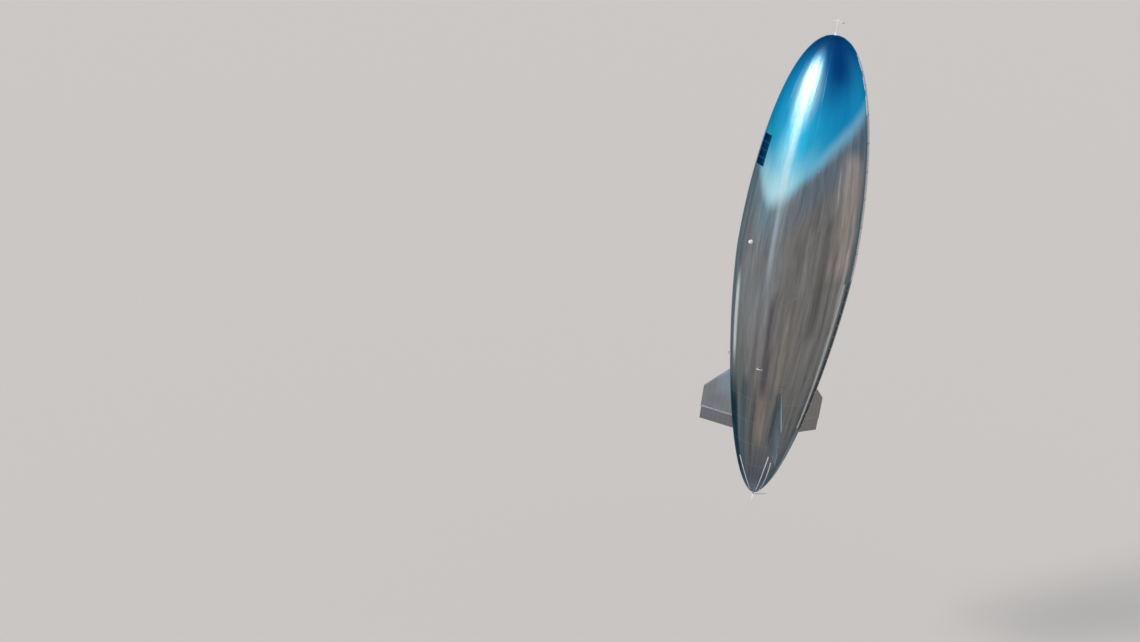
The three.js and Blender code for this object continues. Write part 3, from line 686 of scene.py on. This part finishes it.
module_pitch = (ARRAY_TO - ARRAY_FROM + ARRAY_GAP) / MODULES
for number in range(MODULES):
    first = ARRAY_FROM + number * module_pitch
    module = wrapped(f"solar_film_{number + 1}", CELLS_ACROSS, CELLS_ALONG, lambda u, v: skin_point(
        180 + ARRAY_HALF_ANGLE * (2 * u - 1), first + (module_pitch - ARRAY_GAP) * (1 - v), 0.013))
    edit_all()
    bpy.ops.mesh.inset(thickness=CELL_MARGIN, use_individual=True)
    bpy.ops.mesh.inset(thickness=0.001, depth=0.003, use_individual=True)
    bpy.ops.object.mode_set(mode="OBJECT")
    tiles = [face.index for face in module.data.polygons if face.select]
    fit(module, carrier, "hull", "solar_cell", f"solar_module_{number + 1}")
    module.data.materials.append(cell)
    for index in tiles:
        module.data.polygons[index].material_index = 1
    finished_by(module, "SOLIDIFY", thickness=0.03, offset=-1)
# White tapes in short runs at the array's fore corners: they stand in for glints off the array's edges, a
# painted highlight.
corner_glint_tapes = [
    skin_sheet("corner_glint_tape", (edge, edge + CORNER_GLINT_WIDTH), run, 4, 8, offset=0.021, wall=0.03)
    for run in ((1.25, 1.95), (2.3, 3.1), (3.5, 4.7)) for edge in CORNER_GLINT_EDGES]
fit(joined("array_corner_glint_tapes", corner_glint_tapes), white, "hull", "white_paint")

# The cable ducts: a dark ribbed hose run under a fairing, from the array's rear corners to the tail,
# with clamps over it and a strip of matt tape bonded down at either side.
DUCT_AZIMUTH = 118
DUCT_HALF_WIDTH = 1.4
DUCT_RUN = (15.9, 27.2)
DUCT_HEIGHT = 0.056
CLAMPS = 13

rubber, place = new_finish("dark fairing", (0.035, 0.038, 0.042), 0.6)
bloom = place.noise(3, 4)
dress(rubber, bloom.ramp([(0.0, (0.018, 0.02, 0.024)), (1.0, (0.075, 0.078, 0.08))]), 0.45 + 0.3 * bloom,
      place.parts()[2].line(0.06, 0.03), 0.004)
tape = mottled("matt tape", (0.42, 0.38, 0.33), 0.7, (1.4, 5, 0.6), [
    (0.0, (0.34, 0.32, 0.30)), (0.5, (0.46, 0.435, 0.41)), (1.0, (0.58, 0.55, 0.52))],
    rough=(0.6, 0.2), grain=(12, 4, 0.003, 0.4))


def duct_shell(name, centre, half_width, height, run, rows, taper):
    """A closed low arch along the skin, brought down to the skin over a taper at its ends."""
    def place_of(u, v):
        arc = 2 * math.pi * u
        end = min(1.0, min(v, 1 - v) * (run[1] - run[0]) / taper + 0.05) ** 0.5
        rise = height * end * max(0.0, math.sin(arc)) ** 0.6 if math.sin(arc) > 0 else -0.014
        return skin_point(centre + half_width * math.cos(arc), run[1] + v * (run[0] - run[1]), rise)
    return wrapped(name, 20, rows, place_of, closed=True)


for side, centre in (("right", DUCT_AZIMUTH), ("left", 360 - DUCT_AZIMUTH)):
    duct = duct_shell(f"cable_duct_{side}", centre, DUCT_HALF_WIDTH, DUCT_HEIGHT, DUCT_RUN, 120, 0.5)
    fit(duct, rubber, "hull", "cable_tape", f"cable_run_{side}")
    clamps = []
    for i in range(CLAMPS):
        clamp_at = DUCT_RUN[0] + 0.5 + i * (DUCT_RUN[1] - DUCT_RUN[0] - 1.0) / (CLAMPS - 1)
        clamps.append(duct_shell("clamp", centre, DUCT_HALF_WIDTH + 0.25, DUCT_HEIGHT + 0.005,
                                 (clamp_at, clamp_at + 0.05), 2, 0.001))
    fit(joined(f"duct_clamps_{side}", clamps), metal, "hull", "bare_metal")
    mirror = 1 if side == "right" else -1
    strips = []
    for near_edge, far_edge in ((-14.0, -9.0), (8.5, 13.0)):
        edges = sorted((centre + mirror * near_edge, centre + mirror * far_edge))
        strips.append(skin_sheet(
            "strip", edges, (DUCT_RUN[0], DUCT_RUN[1] - 0.3), 8, 60, offset=0.0025, wall=0.016))
    fit(joined(f"duct_tape_{side}", strips), tape, "hull", "cable_tape")

# The small array beside the belly line: dark square tiles on one backing sheet.
PANEL_AZIMUTHS = (-28.5, -10.0)
PANEL_RUN = (6.78, 8.88)
PANEL_ROWS = 4
PANEL_COLUMNS = 2
PANEL_MARGIN = 0.03
backing = skin_sheet("backing", PANEL_AZIMUTHS, PANEL_RUN, 16, 12, 0.012, 0.03)
tiles = []
tile_angle = (PANEL_AZIMUTHS[1] - PANEL_AZIMUTHS[0]) / PANEL_COLUMNS
tile_run = (PANEL_RUN[1] - PANEL_RUN[0]) / PANEL_ROWS
margin_angle = math.degrees(PANEL_MARGIN / HULL_RADIUS)
for row in range(PANEL_ROWS):
    for column in range(PANEL_COLUMNS):
        west = PANEL_AZIMUTHS[0] + column * tile_angle
        north = PANEL_RUN[0] + row * tile_run
        tile = skin_sheet("tile", (west + margin_angle, west + tile_angle - margin_angle),
                          (north + PANEL_MARGIN, north + tile_run - PANEL_MARGIN), 8, 4, 0.026, 0.02)
        tiles.append(finished_by(tile, "BEVEL", width=0.004, segments=2))

panel, place = new_finish("dark tiles", (0.004, 0.075, 0.16), 0.35, metallic=1.0, edge_tint=(0.0, 0.2, 0.3))
sheen = place.noise(1.5, 3)
x, y, z = place.parts()
square_edge = x.line(0.13, 0.008).maths("MAXIMUM", z.line(0.13, 0.008))
panel_colour = sheen.ramp([
    (0.0, (0.001, 0.050, 0.11)), (0.5, (0.003, 0.075, 0.16)), (1.0, (0.010, 0.12, 0.23))])
dress(panel, panel_colour.tinted((0.02, 0.16, 0.27), square_edge * 0.6), 0.25 + 0.2 * sheen,
      place.noise(5, 3), 0.004, 0.3)
backing_film = mottled(
    "backing film", (0.03, 0.18, 0.28), 0.45, (4, 3), [(0.0, (0.02, 0.14, 0.23)), (1.0, (0.06, 0.24, 0.36))],
    rough=(0.35, 0.2), grain=(30, 2, 0.001, 0.3), metallic=1.0, edge_tint=(0.1, 0.3, 0.4))
fit(backing, backing_film, "hull", "solar_cell")
fit(joined("belly_tiles", tiles), panel, "hull", "solar_cell", "belly_array")

# The belly dome: a moulded cover on a collar, held by a ring of bolts, over an instrument.
DOME_AZIMUTH = -2
DOME_STATION = 13.9


def seated(azimuth, station, offset=0.0):
    """The place on the skin for a piece that was made upright: X runs round the hull and Y to the nose."""
    angle = math.radians(azimuth)
    across = Vector((math.cos(angle), math.sin(angle), 0))
    forward = (skin_point(azimuth, station - 0.01) - skin_point(azimuth, station + 0.01)).normalized()
    outward = across.cross(forward)
    turn = Matrix((across, forward, outward)).transposed().to_4x4()
    return Matrix.Translation(skin_point(azimuth, station, offset)) @ turn


spot = seated(DOME_AZIMUTH, DOME_STATION)
dome = turned("belly_dome_cover", [
    (0.150, -0.04), (0.150, 0.010), (0.146, 0.016), (0.126, 0.018), (0.122, 0.024), (0.122, 0.067),
    (0.125, 0.070), (0.125, 0.075), (0.120, 0.081), (0.116, 0.105), (0.103, 0.136), (0.081, 0.161),
    (0.053, 0.177), (0.024, 0.184), (0.004, 0.185)])
dome.data.transform(spot)
fit(dome, white, "hull", "white_paint", "belly_dome")
dome_bolt = bolt(0.006, Matrix.Translation((0.137, 0, 0.0165)))
dome_bolts = repeated("dome_bolts", dome_bolt, round_the_axis(10))
dome_bolts.data.transform(spot)
fit(dome_bolts, metal, "hull", "bare_metal")

# The handling patches: a doubler of film with pointed fingers, bonded to the hull, and a drilled lug
# through which a shackle passes.
LUGS = {"fore_right": (55, 8.36), "fore_left": (-55, 8.36), "mid_right": (55, 16.9), "mid_left": (-55, 16.9)}
PATCH_RADIUS = 0.17
FINGERS = 12


def patch_point(u, v):
    """The doubler's upper face round its middle: flat at first, then down into the skin at the fingers."""
    arc = 2 * math.pi * u
    reach = PATCH_RADIUS * (0.80 + 0.20 * abs(math.cos(FINGERS * arc / 2)))
    return Vector((reach * v * math.cos(arc), reach * v * math.sin(arc), 0.016 - 0.024 * v ** 3))


def cut_by(piece, cutter):
    """Takes the cutter's shape out of a piece. The cutter goes."""
    finished_by(piece, "BOOLEAN", object=cutter, operation="DIFFERENCE", solver="EXACT")
    bpy.data.objects.remove(cutter)
    return piece


for name, (azimuth_here, station_here) in LUGS.items():
    spot = seated(azimuth_here, station_here)
    pad = wrapped("pad", 96, 6, patch_point)
    edit_all()
    weld()
    finished_by(leave(pad), "SOLIDIFY", thickness=0.02, offset=-1)
    pad.data.transform(spot)
    fit(pad, film, "hull", "hull_film", f"handling_patch_{name}")
    lug = slab(
        "lug", [(-0.08, 0.0), (-0.08, 0.06), (-0.05, 0.09), (0.05, 0.09), (0.08, 0.06), (0.08, 0.0)], 0.022)
    hole = turned("hole", [(0.022, -0.05), (0.022, 0.05)], 24)
    cut_by(lug, laid(hole, (-0.05, 0, 0.05), (0.05, 0, 0.05)))
    lug.data.transform(spot @ Matrix.Translation((0, 0, 0.0005)) @ rotation(90))
    fit(lug, metal, "hull", "bare_metal")
    lug.name = f"lug_{name}"

# The stand-off rails: a bar held clear of the hull on two flanged feet.
RAIL_AZIMUTH = 29.3
RAIL_STATION = 22.44
RAIL_HEIGHT = 0.13
RAIL_HALF = 0.21
for side, azimuth_here in (("right", RAIL_AZIMUTH), ("left", -RAIL_AZIMUTH)):
    spot = seated(azimuth_here, RAIL_STATION)
    bar = turned("bar", [
        (0.010, -RAIL_HALF), (0.019, 0.004 - RAIL_HALF), (0.022, 0.012 - RAIL_HALF),
        (0.022, RAIL_HALF - 0.012), (0.019, RAIL_HALF - 0.004), (0.010, RAIL_HALF)], 24)
    laid(bar, (0, 0, RAIL_HEIGHT), (1, 0, RAIL_HEIGHT))
    feet = []
    for shift in (-0.7 * RAIL_HALF, 0.7 * RAIL_HALF):
        foot = turned("foot", [
            (0.048, -0.02), (0.048, 0.006), (0.044, 0.009), (0.027, 0.012), (0.022, 0.022), (0.022, 0.10),
            (0.028, 0.118), (0.028, 0.14)], 24)
        foot.data.transform(Matrix.Translation((shift, 0, 0)))
        feet.append(foot)
    rail = joined(f"rail_{side}", [bar, *feet])
    rail.data.transform(spot)
    fit(rail, metal, "hull", "bare_metal", f"stand_off_rail_{side}")

# The fins: film drawn tight over ribs between a round leading tube and the spar. Each stands on a long
# doubler that spreads its load into the hull. Radii are from the hull's axis.
FINS = {"back": 180, "right": 60, "left": -60}
FIN_TIP = 5.06
FIN_LEAD_AT_TIP = 26.02
FIN_SWEEP = 1.05
HINGE_STATION = 27.65
SPAR_FROM = HINGE_STATION - 0.12
TRAILING_STATION = 28.56
RIB_PITCH = 0.40
LOBE_DEPTH = 0.06
PAD_RUN = (23.48, 28.14)
PAD_HALF_ANGLE = 5
FIN_ROOT = 2.25
FIN_ROOT_HALF = 0.055
FIN_HALF_LOSS = 0.029
FIRST_ROOT_GUESS = 3.2
ROOT_GUESSES = 12
ROOT_CLEARANCE = 0.012

fin_film, place = new_finish("fin film", (0.26, 0.28, 0.31), 0.38, metallic=1.0, edge_tint=(0.45, 0.52, 0.58))
x, y, z = place.parts()
from_axis = (x * x + y * y).maths("SQRT")
station = NOSE_Z - z
rib = from_axis.line(RIB_PITCH, 0.03)
on_flap = station.rises(HINGE_STATION, HINGE_STATION + 0.05)
sewn = station.line(0.30, 0.022, -0.17) * on_flap
wash = place.noise(0.9, 4, 0.6)
creased = xyz(from_axis * 2.5, station * 0.5, x * 0.3).noise(1.6, 4, 0.6)
fin_colour = wash.ramp([
    (0.0, (0.21, 0.24, 0.25)), (0.45, (0.25, 0.265, 0.295)), (0.62, (0.28, 0.285, 0.33)),
    (1.0, (0.33, 0.32, 0.37))])
# Greener grey at the tip and darker on the flap. The bluish upper root, the greenish low root, the bluer side
# towards +X and the browner back fin are painted reflections.
fin_colour = fin_colour.tints(
    ((0.25, 0.30, 0.30), from_axis.rises(4.3, 4.9) * 0.7),
    ((0.28, 0.40, 0.47), from_axis.rises(4.6, 3.2) * station.rises(26.9, 25.2) * 0.8),
    ((0.23, 0.31, 0.30), from_axis.rises(4.0, 3.2) * station.rises(26.4, 27.2) * 0.7),
    ((0.20, 0.20, 0.24), on_flap * 0.8),
    ((0.34, 0.45, 0.52), x.rises(-0.5, 1.5) * 0.75),
    ((0.26, 0.24, 0.215), y.rises(1.5, 3.0) * 0.8),
    ((0.42, 0.44, 0.47), rib.maths("MAXIMUM", sewn) * 0.35))
dress(fin_film, fin_colour, 0.30 + 0.25 * wash, creased + 0.3 * rib, 0.012, 0.35)

lead_paint, place = new_finish(
    "leading edge sleeve", (0.40, 0.42, 0.46), 0.45, metallic=1.0, edge_tint=(0.45, 0.52, 0.58))
x, y, z = place.parts()
worn = place.noise(6, 4)
# Dark brown at the tip. Browner on the back fin and bluer towards +X: painted reflections.
lead_colour = worn.ramp([(0.0, (0.40, 0.42, 0.46)), (1.0, (0.56, 0.58, 0.64))]).tints(
    ((0.24, 0.19, 0.17), (x * x + y * y).maths("SQRT").rises(FIN_TIP - 0.03, FIN_TIP - 0.012)),
    ((0.28, 0.25, 0.22), y.rises(1.5, 3.0) * 0.7),
    ((0.21, 0.30, 0.37), x.rises(-0.5, 1.5) * 0.85))
dress(lead_paint, lead_colour, 0.35 + 0.25 * worn, place.noise(40, 3), 0.001, 0.4)


def lobe(radius, strength):
    """How full the film stands at a radius: where the strength is 1, it is drawn in at each rib."""
    return 1 - LOBE_DEPTH * math.cos(math.pi * radius / RIB_PITCH) ** 2 * min(1.0, strength)


def fin_place(chord_share, span_share):
    """Radius and station of a point on the fin's middle plane. The root follows the hull's outline."""
    root = FIRST_ROOT_GUESS
    for _ in range(ROOT_GUESSES):
        lead = FIN_LEAD_AT_TIP - (FIN_TIP - root) * FIN_SWEEP
        root = hull_radius(lead + chord_share * (SPAR_FROM - lead)) + ROOT_CLEARANCE
    radius = root + span_share * (FIN_TIP - root)
    lead = FIN_LEAD_AT_TIP - (FIN_TIP - radius) * FIN_SWEEP
    return radius, lead + chord_share * (SPAR_FROM - lead)


def fin_point(u, v):
    arc = 2 * math.pi * u
    chord_share = (1 - math.cos(arc)) / 2
    radius, station_here = fin_place(chord_share, v)
    half = FIN_ROOT_HALF - FIN_HALF_LOSS * (radius - FIN_ROOT) / (FIN_TIP - FIN_ROOT)
    fullness = min(1.0, 3.0 * chord_share ** 0.5) - 0.2 * max(0.0, chord_share - 0.3)
    thick = half * fullness * lobe(radius, 4 * chord_share * (1 - v))
    return Vector((radius, thick if u < 0.5 else -thick, NOSE_Z - station_here))


for name, azimuth_here in FINS.items():
    to_azimuth = rotation(azimuth_here - 90)
    pad = skin_sheet(f"fin_doubler_{name}", (azimuth_here - PAD_HALF_ANGLE, azimuth_here + PAD_HALF_ANGLE),
                     PAD_RUN, 10, 60, offset=0.010, wall=0.026)
    fit(finished_by(pad, "BEVEL", width=0.004, segments=2), film, "hull", "hull_film", f"fin_pad_{name}")
    fin = wrapped(f"fin_skin_{name}", 56, 64, fin_point, closed=True, angle=50)
    fin.data.transform(to_azimuth)
    fit(fin, fin_film, "hull", "fin_film", f"fin_{name}")
    lead_from = fin_place(0.0, 0.0)
    lead_to = fin_place(0.0, 1.0)
    reach = math.dist(lead_from, lead_to)
    tube = turned("tube", [(0.020, 0.0), (0.024, 0.01), (0.020, reach - 0.03), (0.010, reach - 0.002)], 20)
    laid(tube, (lead_from[0], 0, NOSE_Z - lead_from[1]), (lead_to[0], 0, NOSE_Z - lead_to[1]))
    tip = slab("tip", [(0, 0), (0.012, 0.0), (0.012, 1.50), (0, 1.50)], 0.05)
    tip.data.transform(Matrix.Translation((FIN_TIP - 0.006, 0, NOSE_Z - SPAR_FROM))
                       @ rotation(90) @ Matrix.Translation((0, -0.006, 0)))
    edge = joined(f"fin_edge_{name}", [tube, tip])
    edge.data.transform(to_azimuth)
    fit(edge, lead_paint, "hull", "fin_film")

# The flaps: one for each fin, film over ribs on a round nose tube that hangs on two pins in the spar's
# ears. Two sewn lines run along each.
FLAP_NOSE = 0.028
FLAP_TRAILING = 0.005
FLAP_INNER = (2.57, 2.37)
FLAP_OUTER = FIN_TIP - 0.046
FLAP_CHORD = TRAILING_STATION - HINGE_STATION
FLAP_BORE = 0.0147
HINGE_Z = NOSE_Z - HINGE_STATION
BEYOND_TIP = (9, 0, HINGE_Z)


def flap_point(u, v):
    behind = (1 - math.cos(2 * math.pi * u)) / 2 * (FLAP_CHORD + FLAP_NOSE) - FLAP_NOSE
    aft = max(0.0, behind) / FLAP_CHORD
    thick = FLAP_NOSE + (FLAP_TRAILING - FLAP_NOSE) * aft
    if behind < 0:
        thick = math.sqrt(max(0.0, FLAP_NOSE ** 2 - behind ** 2))
    inner = FLAP_INNER[0] + (FLAP_INNER[1] - FLAP_INNER[0]) * aft
    radius = inner + v * (FLAP_OUTER - inner)
    thick *= lobe(radius, 4 * max(0.0, behind))
    return Vector((radius, thick if u < 0.5 else -thick, HINGE_Z - behind))


for name, azimuth_here in FINS.items():
    flap = wrapped(f"flap_skin_{name}", 48, 48, flap_point, closed=True, angle=50)
    for pin_from in (FLAP_INNER[0] - 0.05, FLAP_OUTER - 0.07):
        bore = turned("bore", [(FLAP_BORE, 0), (FLAP_BORE, 0.12)], 24)
        cut_by(flap, laid(bore, (pin_from, 0, HINGE_Z), BEYOND_TIP))
    flap.data.transform(rotation(azimuth_here - 90))
    fit(flap, fin_film, f"flap_body_{name}", "fin_film", f"flap_{name}")
    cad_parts[f"fin_spar_{name}"].data.materials[0] = lead_paint

# The flap drives: a finned electric drum at the inner end of each hinge, with a cable gland.
DRUM_RADIUS = 0.0410
DRUM_FROM = 2.42
DRUM_GROOVES = 5
drum_profile = [(0.020, 0.0), (0.034, 0.002), (DRUM_RADIUS, 0.006), (DRUM_RADIUS, 0.024)]
for i in range(DRUM_GROOVES):
    groove = 0.028 + 0.012 * i
    drum_profile += [(0.036, groove), (0.036, groove + 0.004), (DRUM_RADIUS, groove + 0.004),
                     (DRUM_RADIUS, groove + 0.010)]
drum_profile += [(DRUM_RADIUS, 0.104), (0.034, 0.109), (0.020, 0.1095)]
for name, azimuth_here in FINS.items():
    drum = turned("drum", drum_profile, 32)
    gland = turned("gland", [(0.011, 0.034), (0.011, 0.046), (0.008, 0.048), (0.008, 0.056)], 16)
    gland.data.transform(Matrix.Translation((0, 0, 0.015)) @ rotation(90, "Y") @ rotation(180, "X"))
    drum = laid(joined(f"flap_drive_{name}", [drum, gland]), (DRUM_FROM, 0, HINGE_Z), BEYOND_TIP)
    drum.data.transform(rotation(azimuth_here - 90))
    fit(drum, grey, "hull", "grey_paint", f"flap_actuator_{name}")

# The tail straps: flat webbing that runs from the fins' feet and the flanks in to the tail fitting and
# takes the propeller's thrust into the film.
STRAPS = [
    # azimuth and station at the fore end, then at the tail
    (65.1, 29.23, 61.0, 32.55),
    (74.7, 29.74, 84.0, 32.55),
    (-3.0, 29.78, 19.0, 32.55),
]
webbing, place = new_finish("woven webbing", (0.60, 0.63, 0.66), 0.75)
x, y, z = place.parts()
weave = (x + z).line(0.006, 0.003) * (y - z).line(0.006, 0.003)
soil = place.noise(2.5, 4)
dress(webbing, soil.ramp([(0.0, (0.55, 0.55, 0.60)), (0.45, (0.74, 0.74, 0.80)), (1.0, (0.86, 0.86, 0.92))]),
      0.65 + 0.2 * soil, weave, 0.001)
straps = []
for third in (0, 120, 240):
    for azimuth_from, station_from, azimuth_to, station_to in STRAPS:
        def strap_point(u, v):
            share = 1 - v
            station_here = station_from + share * (station_to - station_from)
            half = math.degrees((0.036 - 0.021 * share) / hull_radius(station_here))
            azimuth_here = third + azimuth_from + share * (azimuth_to - azimuth_from) + half * (2 * u - 1)
            return skin_point(azimuth_here, station_here, 0.004)
        strap = wrapped("strap", 2, 40, strap_point)
        straps.append(finished_by(strap, "SOLIDIFY", thickness=0.016, offset=-1))
fit(joined("tail_straps", straps), webbing, "hull", "hull_film")

# The tail fitting: a pressed dish over the tail opening, bolted round its rim, with two ears that carry
# the gimbal ring.
TAIL_Z = NOSE_Z - HULL_LENGTH
TAIL_LAP = HULL_LENGTH - 0.19
GIMBAL_Z = TAIL_Z - 0.085
PIN_BORE = 0.0096
EAR_X = 0.126
SKIRT = [
    # station and offset
    (TAIL_OPENING - 0.004, 0.0155), (TAIL_LAP - 0.002, 0.0175), (TAIL_LAP - 0.012, 0.001),
    (TAIL_LAP, -0.018), (TAIL_OPENING - 0.006, 0.012)]
lap = ring_at(TAIL_LAP, 0.015)
rim = ring_at(TAIL_OPENING, 0.015)
dish = turned("dish", [
    (0.15, TAIL_Z + 0.02), (0.15, TAIL_Z - 0.003), (0.165, TAIL_Z - 0.002), (0.175, TAIL_Z + 0.008),
    ring_at(TAIL_OPENING + 0.03, 0.015), rim, lap, (lap[0] + 0.004, lap[1] + 0.004),
    ring_at(TAIL_LAP - 0.006, 0.001), ring_at(TAIL_LAP, -0.02)], 64)
ears = []
for sign in (-1, 1):
    ear = slab("ear", [
        (-0.034, 0.105), (0.034, 0.105), (0.026, 0.0), (0.021, -0.014), (0.012, -0.022), (-0.012, -0.022),
        (-0.021, -0.014), (-0.026, 0.0)], 0.015, 0.002)
    through = turned("through", [(PIN_BORE, -0.1), (PIN_BORE, 0.1)], 24)
    cut_by(ear, laid(through, (0, 0, 0), (1, 0, 0)))
    ear.data.transform(Matrix.Translation((sign * EAR_X, 0, GIMBAL_Z)))
    boss = turned("boss", [
        (PIN_BORE, -0.0085), (0.017, -0.0085), (0.018, -0.007), (0.018, 0.007), (0.017, 0.0085),
        (PIN_BORE, 0.0085)], 24, closed=True)
    ears += [ear, laid(boss, (sign * EAR_X, 0, GIMBAL_Z), (sign * 2, 0, GIMBAL_Z))]
fit(joined("tail_dish", [dish, *ears]), white, "hull", "white_paint", "tail_fitting")
skirt = turned("tail_skirt", [ring_at(*edge) for edge in SKIRT], 64, closed=True)
fit(skirt, film, "hull", "hull_film")
rim_radius, rim_z = ring_at(TAIL_LAP + 0.03, 0.0155)
rim_slope = math.atan2(lap[1] - rim[1], lap[0] - rim[0])
on_rim = Matrix.Translation((rim_radius, 0, rim_z)) @ Matrix.Rotation(math.pi - rim_slope, 4, "Y")
fit(repeated("tail_bolts", bolt(0.007, on_rim), round_the_axis(24)), metal, "hull", "bare_metal")

# The gimbal ring: turned aluminium with lightening rims and two trunnions.
RING_IN = 0.094
RING_OUT = 0.110


def trunnions(profile, x, y):
    """Two pins on opposite sides of the gimbal's middle, which point away from it."""
    return [laid(turned("trunnion", profile, 24), (sign * x, sign * y, GIMBAL_Z),
                 (2 * sign * x, 2 * sign * y, GIMBAL_Z)) for sign in (-1, 1)]


ring = turned("ring", [
    (RING_IN, -0.011), (RING_IN + 0.002, -0.013), (RING_OUT - 0.002, -0.013), (RING_OUT, -0.011),
    (RING_OUT, -0.007), (RING_OUT - 0.004, -0.005), (RING_OUT - 0.004, 0.005), (RING_OUT, 0.007),
    (RING_OUT, 0.011), (RING_OUT - 0.002, 0.013), (RING_IN + 0.002, 0.013), (RING_IN, 0.011)],
    72, closed=True, base=GIMBAL_Z)
pins = trunnions([(0.016, 0.0), (0.016, 0.0065), (0.009, 0.0075), (0.009, 0.029), (0.008, 0.030)], 0.102, 0)
ring = joined("gimbal_ring_turned", [ring, *pins])
across = turned("across", [(PIN_BORE, -0.2), (PIN_BORE, 0.2)], 24)
cut_by(ring, laid(across, (0, 0, GIMBAL_Z), (0, 1, GIMBAL_Z)))
fit(ring, metal, "gimbal", "bare_metal", "gimbal_ring")

# The motor: a black ribbed can, on two trunnions in the ring.
MOTOR_RADIUS = 0.070
MOTOR_HALF = 0.026
MOTOR_GROOVES = 4
motor_profile = [(0.0128, 0.03 - MOTOR_HALF), (0.0128, -MOTOR_HALF), (0.05, -MOTOR_HALF), (0.066, -0.024),
                 (MOTOR_RADIUS, -0.020)]
for i in range(MOTOR_GROOVES):
    groove = 0.009 * i - 0.017
    motor_profile += [(MOTOR_RADIUS, groove), (0.065, groove + 0.0008), (0.065, groove + 0.0035),
                      (MOTOR_RADIUS, groove + 0.0043)]
motor_profile += [(MOTOR_RADIUS, 0.020), (0.066, 0.025), (0.02, MOTOR_HALF)]
motor = turned("can", motor_profile, 64, base=GIMBAL_Z)
pins = trunnions([(0.014, 0.0), (0.014, 0.010), (0.009, 0.012), (0.009, 0.042), (0.008, 0.043)], 0, 0.065)
motor = joined("motor_can", [motor, *pins])
black = mottled(
    "black anodising", (0.03, 0.031, 0.034), 0.35, (25, 4), [
        (0.0, (0.016, 0.017, 0.02)), (1.0, (0.085, 0.085, 0.088))],
    rough=(0.28, 0.3), grain=(300, 2, 0.0003, 0.3), metallic=0.4)
fit(motor, black, "thruster", "carbon", "motor")

# The propeller: a spun hub with its shaft and spinner, and three broad white blades of moulded composite,
# whose round roots stand on the hub.
HUB_Z = GIMBAL_Z - 0.105
HUB_RADIUS = 0.048
BLADE_RADIUS = 1.08
REST_TURN = 75
SPINNER_STEPS = [math.radians(8 * k) for k in range(12)]
hub_profile = [
    (0.0118, 0.087), (0.0118, 0.040), (0.030, 0.036), (0.044, 0.034), (HUB_RADIUS, 0.030),
    (HUB_RADIUS, -0.030), (0.0465, -0.034), (0.0455, -0.037)]
hub_profile += [(0.0445 * math.cos(step), -0.039 - 0.055 * math.sin(step)) for step in SPINNER_STEPS]
hub = turned("propeller_hub_spun", hub_profile, 64, base=HUB_Z)
gloss = mottled(
    "blade gloss", (0.80, 0.81, 0.81), 0.25, (7, 5, 0.65), [
        (0.0, (0.58, 0.59, 0.60)), (0.5, (0.80, 0.81, 0.81)), (1.0, (0.86, 0.87, 0.87))],
    rough=(0.16, 0.25), grain=(90, 2, 0.0005, 0.3), coat=0.6)
fit(hub, gloss, "propeller", "blade_paint", "propeller_hub")

BLADE_STATIONS = [
    # radius, chord, thickness, pitch in degrees
    (HUB_RADIUS + 0.0005, 0.044, 0.040, 40),
    (0.110, 0.060, 0.034, 40),
    (0.200, 0.120, 0.024, 38),
    (0.420, 0.160, 0.018, 28),
    (0.760, 0.140, 0.013, 18),
    (1.000, 0.100, 0.009, 13),
    (BLADE_RADIUS, 0.040, 0.006, 12),
]


def blade_point(u, v):
    """A point on the blade: round the section with u, and out along the blade with v."""
    radius = BLADE_STATIONS[0][0] + v * (BLADE_RADIUS - BLADE_STATIONS[0][0])
    upper = next(k for k in range(1, len(BLADE_STATIONS)) if radius <= BLADE_STATIONS[k][0] + 1e-6)
    inner, outer = BLADE_STATIONS[upper - 1], BLADE_STATIONS[upper]
    share = (radius - inner[0]) / (outer[0] - inner[0])
    share = 0.5 * share + 0.5 * share * share * (3 - 2 * share)
    chord, thickness, pitch = (a + share * (b - a) for a, b in zip(inner[1:], outer[1:]))
    arc = 2 * math.pi * u
    along = -0.5 * math.cos(arc)
    roundness = max(0.0, 1 - radius / 0.2)
    depth = abs(math.sin(arc)) * (1.0 - (0.55 - 0.55 * roundness) * (along + 0.5))
    rise = 0.5 * thickness * depth * (1 if u < 0.5 else -1)
    turn_here = math.radians(pitch)
    return Vector((radius, along * chord * math.cos(turn_here) - rise * math.sin(turn_here),
                   along * chord * math.sin(turn_here) + rise * math.cos(turn_here)))


for i in range(3):
    blade = wrapped(f"blade_shell_{i + 1}", 28, 48, blade_point, closed=True)
    blade.data.transform(Matrix.Translation((0, 0, HUB_Z)) @ rotation(REST_TURN + 120 * i))
    fit(blade, gloss, "propeller", "blade_paint", f"blade_{i + 1}")
